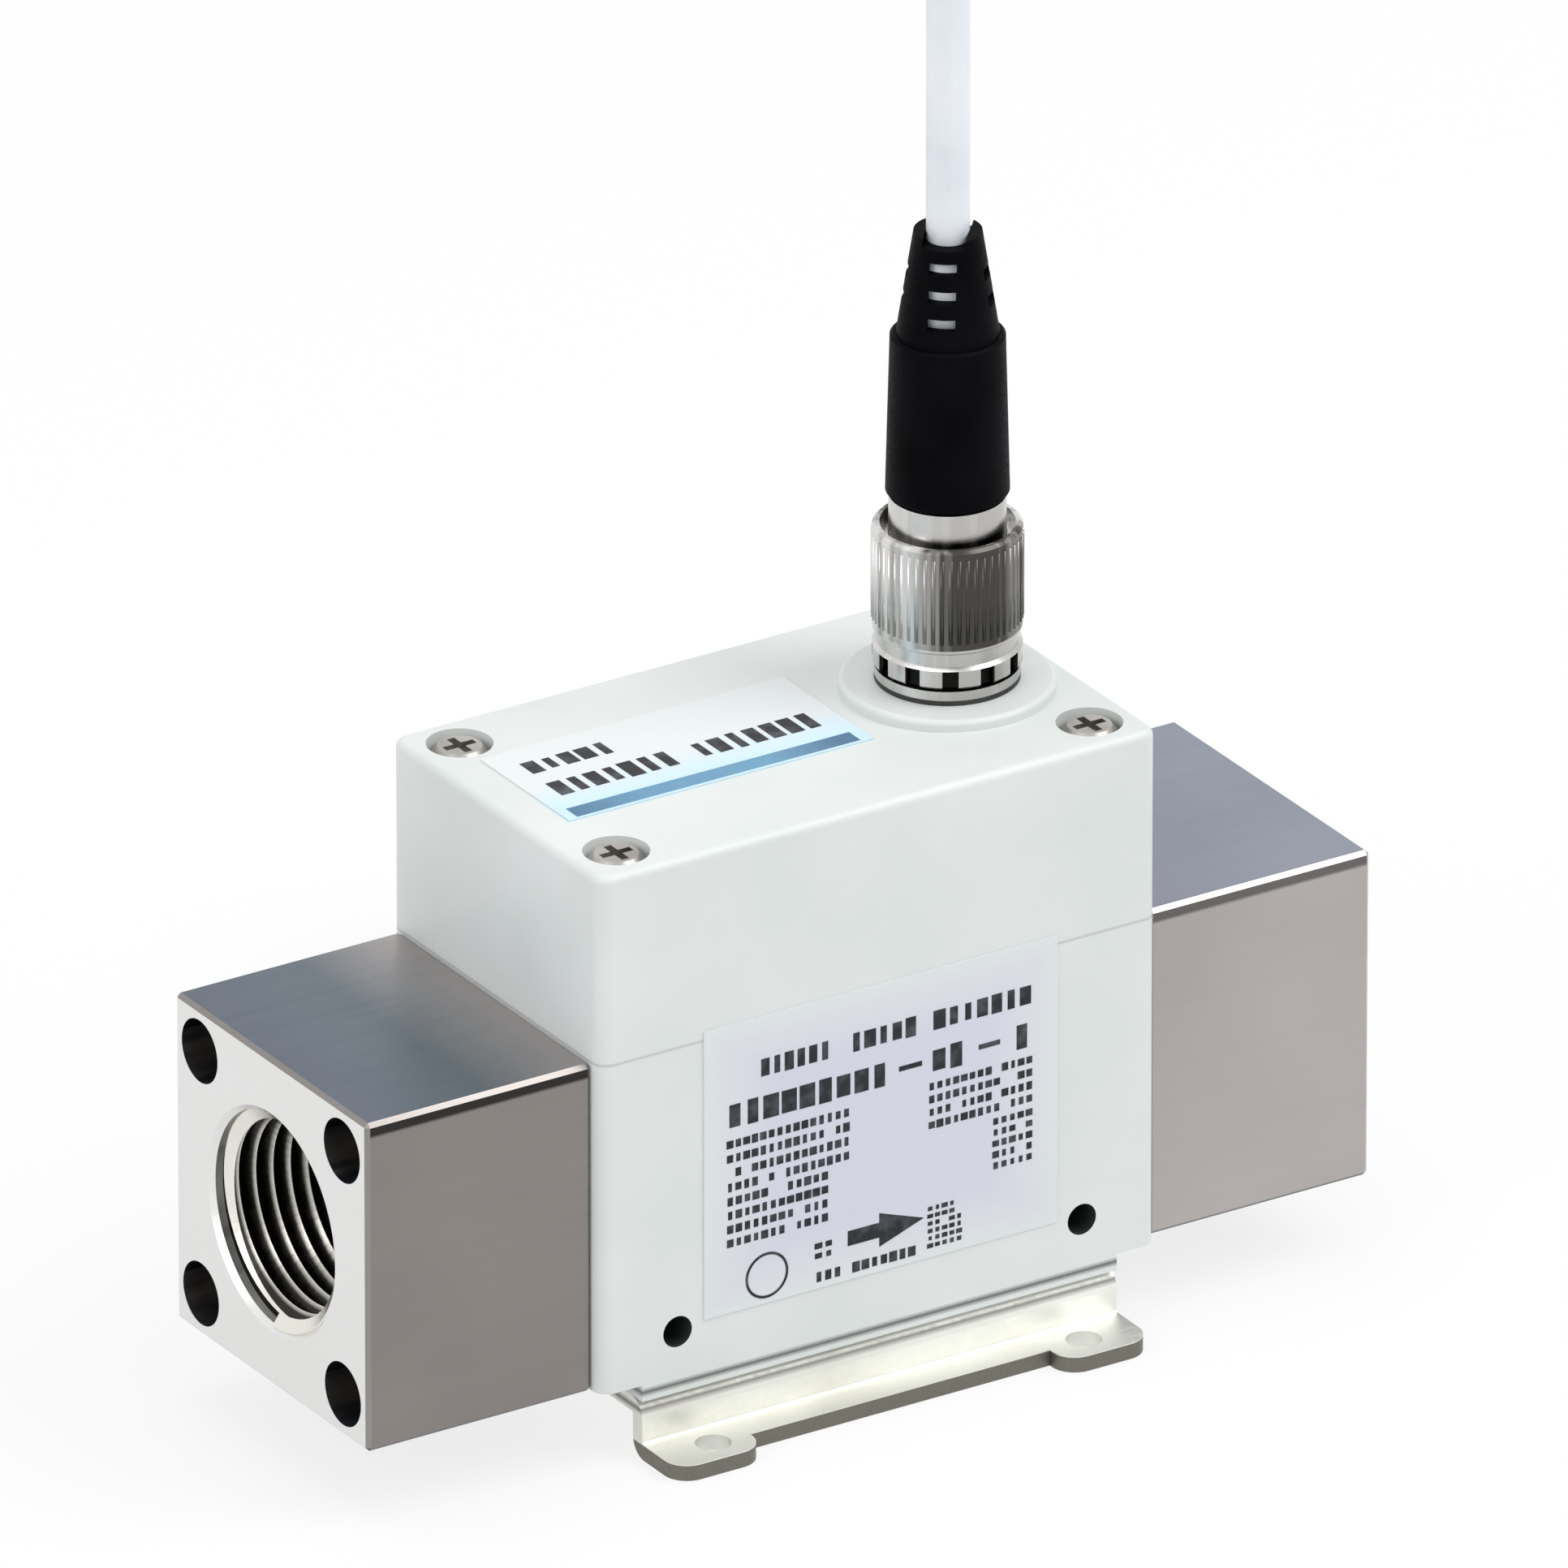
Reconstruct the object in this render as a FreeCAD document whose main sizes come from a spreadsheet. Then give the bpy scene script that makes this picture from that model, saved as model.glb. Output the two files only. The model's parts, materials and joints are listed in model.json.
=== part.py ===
import FreeCAD, Part
import math
import os
import re

import Sketcher

# A flow switch for water lines: a moulded housing between two square metal end blocks,
# a sheet-metal bracket under it, and a cable with a screwed round plug in its top cover.
# Millimetres. X runs along the flow from inlet to outlet, Z is up, and the origin is the
# middle of the bracket's underside.

Vector = FreeCAD.Vector
Rotation = FreeCAD.Rotation
Placement = FreeCAD.Placement

SIZES = {
    # moulded housing and its cover
    "housing_length": 60,
    "housing_width": 36,
    "housing_height": 52,
    "housing_corner": 1.5,
    "wall": 3.5,
    "corner_post": 5.7,
    "compartment_depth": 14.5,
    "cover_thickness": 4,
    "cover_edge": 0.8,
    "foot_rise": 1.65,
    "foot_inset": 4.4,
    "side_hole": 3,
    "side_hole_inset": 8.2,
    "side_hole_rise": 4.5,
    "side_hole_depth": 8,
    # flow passage and what stands in it
    "passage_diameter": 16,
    "straightener_diameter": 18,
    "straightener_length": 10,
    "straightener_hole": 4.2,
    "straightener_pitch": 5.2,
    "bar_place": -5,
    "bar_head": 9,
    "bar_width": 5,
    "bar_length": 6,
    "bar_tail": 1.6,
    "bar_pocket": 1.2,
    "sensor_place": 9,
    "sensor_diameter": 8,
    "sensor_flange": 12,
    "sensor_flange_height": 1.5,
    "sensor_seal_section": 1,
    "vane_length": 5,
    "vane_thickness": 1.2,
    "vane_gap": 3,
    "clamp_thickness": 1.2,
    "clamp_width": 13,
    "clamp_reach": 4.3,
    "clamp_margin": 3.2,
    "clamp_window": 6,
    "lead_diameter": 0.7,
    "lead_pitch": 2.54,
    # square end blocks with a 1/2 inch taper pipe thread
    "block_section": 33,
    "block_length": 24,
    "block_edge": 0.4,
    "port_diameter": 20.955,
    "port_depth": 15,
    "port_mouth": 22,
    "seal_radius": 10.7,
    "seal_section": 1.8,
    "seal_room": 0.2,
    # M3 screws, their holes and brass inserts, and the small deck screws
    "screw": 3,
    "screw_hole": 3.4,
    "screw_head": 5.5,
    "screw_tip": 1.2,
    "screw_room": 0.6,
    "cap_head_height": 3,
    "pan_head_height": 2,
    "cross_length": 3.2,
    "cross_width": 0.8,
    "cross_depth": 1,
    "socket_width": 2.5,
    "socket_depth": 1.3,
    "counterbore": 6.2,
    "insert_diameter": 4.2,
    "insert_length": 5,
    "insert_relief": 3,
    "block_screw_pitch": 24.5,
    "block_screw_sink": 9,
    "cover_screw_inset": 4.6,
    "cover_screw_sink": 2.2,
    "deck_screw": 2,
    "deck_screw_head": 3.8,
    "deck_screw_head_height": 1.4,
    "deck_screw_length": 6,
    "deck_screw_room": 1,
    # gasket, circuit board and its pillars
    "gasket_width": 1.4,
    "gasket_thickness": 0.8,
    "board_thickness": 1.6,
    "board_room": 0.6,
    "pillar_height": 5,
    "pillar_diameter": 4.6,
    "pillar_spacing_along": 32,
    "pillar_spacing_across": 22,
    # round connector in the cover
    "connector_inset": 11.4,
    "boss_diameter": 20,
    "boss_rise": 1.1,
    "shell_thread": 12,
    "shell_flange": 13.4,
    "shell_flange_height": 0.9,
    "shell_seal_height": 0.5,
    "shell_bore": 8.7,
    "shell_rise": 9,
    "shell_edge": 0.4,
    "shell_tail": 3,
    "shell_nut": 15,
    "shell_nut_height": 2.5,
    "shell_insert_height": 9,
    "pin_diameter": 1,
    "pin_circle": 5.5,
    "pin_rise": 7.5,
    "pin_tip": 0.5,
    "nut_diameter": 13.8,
    "nut_neck": 13,
    "nut_gap": 0.2,
    "nut_ring_height": 1.9,
    "nut_neck_height": 1.8,
    "nut_sleeve_height": 10.2,
    "nut_recess_height": 1,
    "nut_recess": 12.4,
    "nut_edge": 0.3,
    "nut_notch_width": 1.5,
    "nut_notch_depth": 0.75,
    "nut_notch_count": 12,
    # moulded plug on the cable
    "collar_diameter": 10.8,
    "collar_flange": 11.9,
    "collar_flange_height": 1.7,
    "collar_rise": 2.9,
    "collar_tail": 9.6,
    "collar_tail_height": 3,
    "plug_core": 8.4,
    "plug_core_gap": 1.2,
    "contact_diameter": 1.8,
    "contact_wall": 0.35,
    "plug_gasket_section": 1,
    "plug_foot": 11.4,
    "plug_shoulder": 10.6,
    "plug_height": 16.1,
    "plug_edge": 0.5,
    "relief_foot": 9.5,
    "relief_top": 6.3,
    "relief_height": 10.2,
    "relief_cut": 0.8,
    "cable_seat": 0.4,
    "relief_slot_width": 2.6,
    "relief_slot_height": 1.1,
    "relief_slot_pitch": 2.6,
    "relief_slot_start": 1.9,
    "plug_turn": -41,
    # cable, coil and cores
    "cable_diameter": 4,
    "cable_room": 0.1,
    "cable_heading": 57.5,
    "coil_shift": 7,
    "coil_gap": 0.3,
    "coil_radius": 20,
    "coil_columns": 4,
    "coil_layers": 5,
    "tail_start": -40,
    "tail_sweep": 220,
    "core_diameter": 1.2,
    "core_pitch": 1.5,
    "core_straight": 2,
    "core_length": 22,
    "tip_diameter": 0.8,
    "tip_length": 4,
    # bracket
    "bracket_rise": 5.85,
    "sheet": 1.6,
    "bend_inside": 0.3,
    "bracket_width": 48.4,
    "tab_reach": 2.8,
    "tab_length": 9.4,
    "tab_corner": 2.4,
    "tab_hole": 3.4,
    "tab_hole_inset": 5.6,
    "tab_hole_margin": 3,
    "bracket_screw_along": 32,
    "bracket_screw_across": 22,
    # labels
    "label_thickness": 0.15,
    "front_label_length": 38,
    "front_label_height": 29,
    "front_label_rise": 5,
    "top_label_gap": 1.8,
    "top_label_width": 15.4,
    "top_label_start": 4.2,
    "top_label_shift": 1.6,
    # gap round a piece that sits in a bore
    "fit": 0.05,
}

# Levels and places that follow from the driving dimensions
BASE = "(bracket_rise + foot_rise)"
AXIS = f"({BASE} + block_section / 2)"
TOP = f"({BASE} + housing_height)"
SEAM = f"({TOP} - cover_thickness)"
DECK = f"({SEAM} - compartment_depth)"
BOARD = f"({DECK} + pillar_height)"
PASSAGE_TOP = f"({AXIS} + passage_diameter / 2)"
SEAT = f"({TOP} + boss_rise + shell_seal_height)"
SHELL_BASE = f"({SEAT} + shell_flange_height)"
SHELL_TOP = f"({SHELL_BASE} + shell_rise)"
NUT_BASE = f"({SHELL_BASE} + nut_gap)"
NUT_TOP = f"({NUT_BASE} + nut_ring_height + nut_neck_height + nut_sleeve_height)"
COLLAR_BASE = f"({SHELL_TOP} + plug_gasket_section)"
PLUG_BASE = f"({NUT_TOP} + collar_rise)"
SHOULDER = f"({PLUG_BASE} + plug_height)"
RELIEF_TOP = f"({SHOULDER} + relief_height)"
CABLE_START = f"({SHOULDER} + cable_seat)"
SHELL_LOW = f"({SEAM} - shell_tail)"
SENSOR_GROOVE = f"(({PASSAGE_TOP} + {DECK} - sensor_flange_height - sensor_seal_section) / 2)"
PASSAGE_FLOOR = f"({AXIS} - passage_diameter / 2)"
BLOCK_HALF = "block_screw_pitch / 2"
CONNECTOR = "(housing_length / 2 - connector_inset)"
COIL_OUTER = "(coil_radius + cable_diameter * coil_columns / 2)"
COIL_PLACE = f"({CONNECTOR} + coil_shift)"
COIL_SIDE = f"(bracket_width / 2 + coil_gap + {COIL_OUTER})"
COIL_TOP = "(cable_diameter * coil_layers)"
SIGNS = [(-1, -1), (1, -1), (1, 1), (-1, 1)]

# Share of a screw head's height that is straight, and of its radius that its top keeps
HEAD_RIM = 0.6
HEAD_TOP = 0.75

# Components on the circuit board: corner, length, width and height, or centre, radius and height
CHIPS = {
    "processor": (-20, -5, 9, 9, 1.4),
    "amplifier": (-9, -3.5, 7, 5, 1.4),
    "regulator": (-9, 4, 6, 3.6, 1.6),
    "relay": (0.5, -9.5, 10, 6, 3.6),
    "driver": (0.5, 5, 5, 4, 1.8),
    "resistor": (-20.5, 5.5, 3.2, 1.6, 0.8),
}
CAPACITORS = [(-9, -9, 2, 3.5), (-2.8, 9.6, 2, 3.5)]

# Route of the free cable after its start, up and over in one upright plane: the distance
# from the connector's axis and the height
CABLE_BENDS = [
    (0, 117.5),
    (0.6, 141.5),
    (10, 161.5),
    (30.7, 169),
    (49.7, 158),
    (55.3, 136.7),
    (46.5, 111),
    (34, 86.5),
    (28, 61.5),
]

# Where the cable lands: the distance from where its plane comes nearest to the coil's
# middle, and the height above the line in which it lies on the coil
LANDING = [(-20.2, 14), (-6.2, 0), (12.3, 0)]

# Share of a route's shorter run that an arc takes
ARC_SHARE = 0.45

# Bend radius of each stripped core, less than nothing where it bends to the right, and
# whether the core leaves on the left and at the top
CORE_BENDS = {
    "core_brown": (36, 1, -1),
    "core_white": (60, 1, 1),
    "core_blue": (-60, -1, 1),
    "core_black": (-30, -1, -1),
}

doc = FreeCAD.newDocument("FlowSwitch")
sheet = doc.addObject("Spreadsheet::Sheet", "Sizes")
for row, (alias, value) in enumerate(SIZES.items(), 1):
    sheet.set(f"A{row}", alias)
    sheet.set(f"B{row}", str(value))
    sheet.setAlias(f"B{row}", alias)
doc.recompute()
nodes = []


# Helpers: expressions, sketches and features


def bound(text):
    """The expression with each size's name made a reference to its cell."""
    return re.sub("[a-z_]+", lambda word: "Sizes." + word[0] if word[0] in SIZES else word[0], text)


def value(text):
    """The number that an expression of sizes stands for."""
    return float(sheet.evalExpression(bound(text)))


def place(thing, x="0", y="0", z="0"):
    for axis, text in zip("xyz", (x, y, z)):
        thing.setExpression("Placement.Base." + axis, bound(text))


def keep(thing, name):
    """Marks an object as a sub-part that is written to its own file."""
    thing.Label = name
    nodes.append(thing)
    return thing


def new_body(name, node=True):
    body = doc.addObject("PartDesign::Body", name)
    return keep(body, name) if node else body


def hold_point(sketch, curve, end, across, along):
    for kind, text, axis in (("DistanceX", across, -2), ("DistanceY", along, -1)):
        if text == "0":
            sketch.addConstraint(Sketcher.Constraint("PointOnObject", curve, end, axis))
        else:
            held = sketch.addConstraint(Sketcher.Constraint(kind, -1, 1, curve, end, 1.0))
            sketch.setExpression(f"Constraints[{held}]", bound(text))


def draw_polygon(sketch, corners):
    first = sketch.GeometryCount
    count = len(corners)
    turns = [2 * math.pi * i / count for i in range(count + 1)]
    start = [Vector(math.cos(turn), math.sin(turn), 0) for turn in turns]
    for i in range(count):
        sketch.addGeometry(Part.LineSegment(start[i], start[i + 1]))
    for i in range(count):
        following = first + (i + 1) % count
        sketch.addConstraint(Sketcher.Constraint("Coincident", first + i, 2, following, 1))
    for i, (across, along) in enumerate(corners):
        hold_point(sketch, first + i, 1, across, along)


def draw_circle(sketch, across, along, radius):
    curve = sketch.addGeometry(Part.Circle(Vector(0, 0, 0), Vector(0, 0, 1), 1))
    held = sketch.addConstraint(Sketcher.Constraint("Radius", curve, 1.0))
    sketch.setExpression(f"Constraints[{held}]", bound(radius))
    hold_point(sketch, curve, 3, across, along)


def draw(body, plane, outlines, lift="0"):
    """A sketch on one of the body's own planes: tuples are circles, lists are polygons."""
    sketch = body.newObject("Sketcher::SketchObject", body.Name + "_sketch")
    origin = {feature.Role: feature for feature in body.Origin.OriginFeatures}
    sketch.AttachmentSupport = [(origin[plane + "_Plane"], "")]
    sketch.MapMode = "FlatFace"
    sketch.setExpression("AttachmentOffset.Base.z", bound(lift))
    for outline in outlines:
        if isinstance(outline, tuple):
            draw_circle(sketch, *outline)
        else:
            draw_polygon(sketch, outline)
    return sketch


def extrude(body, kind, plane, outlines, lift, length, turned_round=False):
    profile = draw(body, plane, outlines, lift)
    feature = body.newObject("PartDesign::" + kind, body.Name + "_" + kind.lower())
    feature.Profile = profile
    feature.Reversed = turned_round
    feature.setExpression("Length", bound(length))
    return feature


def pad(body, plane, outlines, lift, length):
    return extrude(body, "Pad", plane, outlines, lift, length, plane == "XZ")


def pocket_down(body, plane, outlines, lift, depth):
    """Cuts towards the negative side of the plane's axis."""
    return extrude(body, "Pocket", plane, outlines, lift, depth, plane == "XZ")


def pocket_up(body, plane, outlines, lift, depth):
    """Cuts towards the positive side of the plane's axis."""
    return extrude(body, "Pocket", plane, outlines, lift, depth, plane != "XZ")


def turn(body, outline):
    """A solid turned about Z from its half section, given as radius and height."""
    profile = draw(body, "XZ", [outline])
    feature = body.newObject("PartDesign::Revolution", body.Name + "_turn")
    feature.Profile = profile
    feature.ReferenceAxis = (profile, ["V_Axis"])
    feature.Angle = 360
    return feature


def runs_along(edge, axis):
    if not isinstance(edge.Curve, Part.Line):
        return False
    return abs(abs(edge.Curve.Direction.dot(axis)) - 1) < 1e-6


def dress(body, kind, size, chosen):
    """A fillet or chamfer on the edges of the body's last feature that pass a test."""
    doc.recompute()
    base = body.Tip
    names = [f"Edge{i}" for i, edge in enumerate(base.Shape.Edges, 1) if chosen(edge)]
    feature = body.newObject("PartDesign::" + kind, body.Name + "_" + kind.lower())
    feature.Base = (base, names)
    feature.setExpression("Radius" if kind == "Fillet" else "Size", bound(size))
    return feature


def rectangle(left, right, low, high):
    return [(left, low), (right, low), (right, high), (left, high)]


def centred(length, width):
    return rectangle(f"-({length}) / 2", f"({length}) / 2", f"-({width}) / 2", f"({width}) / 2")


def four_circles(along, across, radius):
    """Circles at the corners of a rectangle given by its half sides."""
    return [(f"{a} * ({along})", f"{b} * ({across})", radius) for a, b in SIGNS]


def group(name, source, places, turn_to=None):
    """Equal pieces as one node of separate solids, each a placed copy of the source."""
    copies = []
    for x, y, z in places:
        copy = doc.addObject("App::Link", name + "_copy")
        copy.LinkedObject = source
        copy.Placement = Placement(Vector(), turn_to or Rotation())
        place(copy, x, y, z)
        copies.append(copy)
    compound = doc.addObject("Part::Compound", name)
    compound.Links = copies
    return keep(compound, name)


def ring_seal(name, radius, section, rotation=None):
    seal = doc.addObject("Part::Torus", name)
    seal.setExpression("Radius1", bound(radius))
    seal.setExpression("Radius2", bound(section + " / 2"))
    if rotation:
        seal.Placement = Placement(Vector(), rotation)
    return keep(seal, name)


def pillar_circles(radius):
    return four_circles("pillar_spacing_along / 2", "pillar_spacing_across / 2", radius)


def compartment(grow="0"):
    """Outline of the electronics compartment: a rectangle without its four corner posts."""
    a = f"(housing_length / 2 - wall + {grow})"
    b = f"(housing_width / 2 - wall + {grow})"
    c = f"(housing_length / 2 - wall - corner_post + {grow})"
    d = f"(housing_width / 2 - wall - corner_post + {grow})"
    quarter = [(a, d), (c, d), (c, b)]
    corners = []
    for sx, sy in [(1, 1), (-1, 1), (-1, -1), (1, -1)]:
        part = [(f"{sx} * {x}", f"{sy} * {y}") for x, y in quarter]
        corners += part if sx == sy else part[::-1]
    return corners


# Moulded housing


def make_housing():
    body = new_body("housing")
    half_long = "housing_length / 2"
    half_wide = "housing_width / 2"
    pad(body, "XY", [centred("housing_length", "housing_width")], BASE, f"{SEAM} - {BASE}")
    dress(body, "Fillet", "housing_corner", lambda edge: runs_along(edge, Vector(0, 0, 1)))
    foot = centred("housing_length - 2 * foot_inset", "housing_width")
    pad(body, "XY", [foot], "bracket_rise", "foot_rise")
    cut_passage(body)
    pocket_down(body, "XY", [compartment()], SEAM, f"{SEAM} - {DECK}")
    pocket_down(body, "XY", [compartment("gasket_width")], SEAM, "gasket_thickness")
    pad(body, "XY", pillar_circles("pillar_diameter / 2"), DECK, "pillar_height")
    cut_sensor_bores(body)
    cover_holes = (f"{half_long} - cover_screw_inset", f"{half_wide} - cover_screw_inset")
    pocket_down(body, "XY", four_circles(*cover_holes, "insert_diameter / 2"), SEAM, "insert_length")
    relief = "screw_hole / 2"
    pocket_down(body, "XY", four_circles(*cover_holes, relief), SEAM, "insert_length + insert_relief")
    cut_end_holes(body)
    under = ("bracket_screw_along / 2", "bracket_screw_across / 2", "insert_diameter / 2")
    pocket_up(body, "XY", four_circles(*under), "bracket_rise", "insert_length")
    side = f"({half_long} - side_hole_inset)"
    rise = f"{BASE} + side_hole_rise"
    front = [(f"{sign} * {side}", rise, "side_hole / 2") for sign in (-1, 1)]
    pocket_up(body, "XZ", front, half_wide, "side_hole_depth")
    return body


def cut_passage(body):
    pocket_down(body, "YZ", [("0", AXIS, "passage_diameter / 2")], "housing_length / 2", "housing_length")
    seat = ("0", AXIS, "straightener_diameter / 2 + fit")
    pocket_up(body, "YZ", [seat], "-housing_length / 2", "straightener_length")


def cut_sensor_bores(body):
    bar = ("bar_place", "0", "bar_head / 2 + fit")
    pocket_down(body, "XY", [bar], DECK, f"{DECK} - {PASSAGE_FLOOR} + bar_pocket")
    barrel = ("sensor_place", "0", "sensor_diameter / 2 + fit")
    pocket_down(body, "XY", [barrel], DECK, f"{DECK} - {AXIS}")
    flange = ("sensor_place", "0", "sensor_flange / 2 + fit")
    pocket_down(body, "XY", [flange], DECK, "sensor_flange_height")
    deck_holes = [(x, y, "deck_screw / 2 + fit") for x, y in clamp_screw_places()]
    pocket_down(body, "XY", deck_holes, DECK, "deck_screw_length")
    pocket_down(body, "XY", pillar_circles("deck_screw / 2 + fit"), BOARD, "deck_screw_length")


def cut_end_holes(body):
    for sign, cut in ((-1, pocket_up), (1, pocket_down)):
        face = f"{sign} * housing_length / 2"
        holes = [
            (f"{a} * {BLOCK_HALF}", f"{AXIS} + {b} * {BLOCK_HALF}", "insert_diameter / 2") for a, b in SIGNS
        ]
        cut(body, "YZ", holes, face, "insert_length + fit")


# Cover, its gasket and its screws


def make_cover():
    body = new_body("top_cover")
    pad(body, "XY", [centred("housing_length", "housing_width")], SEAM, "cover_thickness")
    dress(body, "Fillet", "housing_corner", lambda edge: runs_along(edge, Vector(0, 0, 1)))
    top = value(TOP)
    dress(body, "Fillet", "cover_edge", lambda edge: edge.BoundBox.ZMin > top - 1e-6)
    pad(body, "XY", [(CONNECTOR, "0", "boss_diameter / 2")], TOP, "boss_rise")
    rim = value(f"{TOP} + boss_rise")
    dress(body, "Fillet", "boss_rise / 2", lambda edge: edge.BoundBox.ZMin > rim - 1e-6)
    bore = (CONNECTOR, "0", "shell_thread / 2 + fit")
    pocket_down(body, "XY", [bore], f"{TOP} + boss_rise", "cover_thickness + boss_rise")
    along, across = "housing_length / 2 - cover_screw_inset", "housing_width / 2 - cover_screw_inset"
    pocket_down(body, "XY", four_circles(along, across, "screw_hole / 2"), TOP, "cover_thickness")
    pocket_down(body, "XY", four_circles(along, across, "counterbore / 2"), TOP, "cover_screw_sink")
    return body


def make_gasket():
    body = new_body("cover_gasket")
    outlines = [compartment("gasket_width - fit"), compartment()]
    pad(body, "XY", outlines, f"{SEAM} - gasket_thickness", "gasket_thickness")


def corner_places(along, across, level):
    return [(f"{a} * ({along})", f"{b} * ({across})", level) for a, b in SIGNS]


def make_insert():
    body = new_body("threaded_insert", node=False)
    outer, inner = "insert_diameter / 2 - fit", "screw / 2 + fit"
    turn(body, rectangle(inner, outer, "-insert_length", "0"))
    return body


def crown(head, rise):
    """Half section of a screw's head from its seat to its top."""
    return [(head, "0"), (head, f"{HEAD_RIM} * {rise}"), (f"{HEAD_TOP} * {head}", rise), ("0", rise)]


def make_pan_screw(name, length):
    body = new_body(name, node=False)
    shank, head, rise = "screw / 2", "screw_head / 2", "pan_head_height"
    turn(body, [("0", f"-{length}"), (shank, f"-{length}"), (shank, "0")] + crown(head, rise))
    pocket_down(body, "XY", [centred("cross_length", "cross_width")], rise, "cross_depth")
    pocket_down(body, "XY", [centred("cross_width", "cross_length")], rise, "cross_depth")
    return body


def make_cap_screw():
    body = new_body("cap_screw", node=False)
    shank, head, rise = "screw / 2", "screw_head / 2", "cap_head_height"
    length = "-(block_length - block_screw_sink + insert_length)"
    turn(body, [("0", length), (shank, length), (shank, "0"), (head, "0"), (head, rise), ("0", rise)])
    sides = 6
    corner = "socket_width / sqrt(3)"
    hexagon = [
        (f"{corner} * cos({60 * i + 15}deg)", f"{corner} * sin({60 * i + 15}deg)") for i in range(sides)
    ]
    pocket_down(body, "XY", [hexagon], rise, "socket_depth")
    return body


def make_cover_screws(insert):
    along, across = "housing_length / 2 - cover_screw_inset", "housing_width / 2 - cover_screw_inset"
    length = "(cover_thickness - cover_screw_sink + insert_length + screw_tip)"
    screw = make_pan_screw("cover_screw", length)
    group("cover_screws", screw, corner_places(along, across, f"{TOP} - cover_screw_sink"))
    group("cover_inserts", insert, corner_places(along, across, SEAM))


# End blocks with their screws and seals


def make_block(name, sign):
    """One block, modelled outwards along its own X from the face that meets the housing."""
    body = new_body(name)
    pad(body, "YZ", [centred("block_section", "block_section")], "0", "block_length")
    dress(body, "Chamfer", "block_edge", lambda edge: True)
    pocket_down(body, "YZ", [("0", "0", "passage_diameter / 2")], "block_length", "block_length")
    pocket_down(body, "YZ", [("0", "0", "port_diameter / 2")], "block_length", "port_depth")
    end = value("block_length")
    port = value("port_diameter / 2")
    dress(
        body,
        "Chamfer",
        "(port_mouth - port_diameter) / 2",
        lambda edge: edge.BoundBox.XMin > end - 1e-6
        and isinstance(edge.Curve, Part.Circle)
        and abs(edge.Curve.Radius - port) < 1e-6,
    )
    half = BLOCK_HALF
    holes = [(f"{a} * {half}", f"{b} * {half}", "screw_hole / 2") for a, b in SIGNS]
    pocket_down(body, "YZ", holes, "block_length", "block_length")
    sinks = [(y, z, "counterbore / 2") for y, z, _ in holes]
    pocket_down(body, "YZ", sinks, "block_length", "block_screw_sink")
    groove = [
        ("0", "0", "seal_radius + seal_section / 2 + seal_room"),
        ("0", "0", "seal_radius - seal_section / 2 - seal_room"),
    ]
    pocket_up(body, "YZ", groove, "0", "seal_section")
    body.Placement = Placement(Vector(), Rotation(Vector(0, 0, 1), 0 if sign > 0 else 180))
    place(body, f"{sign} * housing_length / 2", "0", AXIS)


def make_block_fittings(insert):
    screw = make_cap_screw()
    inserts = []
    for side, sign in (("inlet", -1), ("outlet", 1)):
        outward = Rotation(Vector(0, 1, 0), 90 * sign)
        seat = f"{sign} * (housing_length / 2 + block_length - block_screw_sink)"
        places = [(seat, f"{a} * {BLOCK_HALF}", f"{AXIS} + {b} * {BLOCK_HALF}") for a, b in SIGNS]
        group(f"{side}_block_screws", screw, places, outward)
        for _, y, z in places:
            copy = doc.addObject("App::Link", "block_insert_copy")
            copy.LinkedObject = insert
            copy.Placement = Placement(Vector(), outward)
            place(copy, f"{sign} * housing_length / 2", y, z)
            inserts.append(copy)
        seal = ring_seal(f"{side}_o_ring", "seal_radius", "seal_section", Rotation(Vector(0, 1, 0), 90))
        place(seal, f"{sign} * (housing_length / 2 + seal_section / 2)", "0", AXIS)
    compound = doc.addObject("Part::Compound", "block_inserts")
    compound.Links = inserts
    keep(compound, "block_inserts")


# What stands in the flow, and the electronics above it


def make_straightener():
    body = new_body("flow_straightener")
    start = "-housing_length / 2"
    pad(body, "YZ", [("0", AXIS, "straightener_diameter / 2")], start, "straightener_length")
    holes = [("0", AXIS, "straightener_hole / 2")]
    for i in range(6):
        across = f"straightener_pitch * cos({60 * i + 30}deg)"
        along = f"{AXIS} + straightener_pitch * sin({60 * i + 30}deg)"
        holes.append((across, along, "straightener_hole / 2"))
    pocket_up(body, "YZ", holes, start, "straightener_length")


def make_vortex_bar():
    body = new_body("vortex_bar")
    pad(body, "XY", [("0", "0", "bar_head / 2")], PASSAGE_TOP, f"{DECK} - {PASSAGE_TOP}")
    broad, tail, half = "bar_width / 2", "bar_tail / 2", "bar_length / 2"
    wedge = [
        (f"-{half}", f"-{broad}"),
        (half, f"-{tail}"),
        (half, tail),
        (f"-{half}", broad),
    ]
    start = f"({PASSAGE_FLOOR} - bar_pocket + fit)"
    pad(body, "XY", [wedge], start, f"{PASSAGE_TOP} - {start}")
    place(body, "bar_place")


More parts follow.
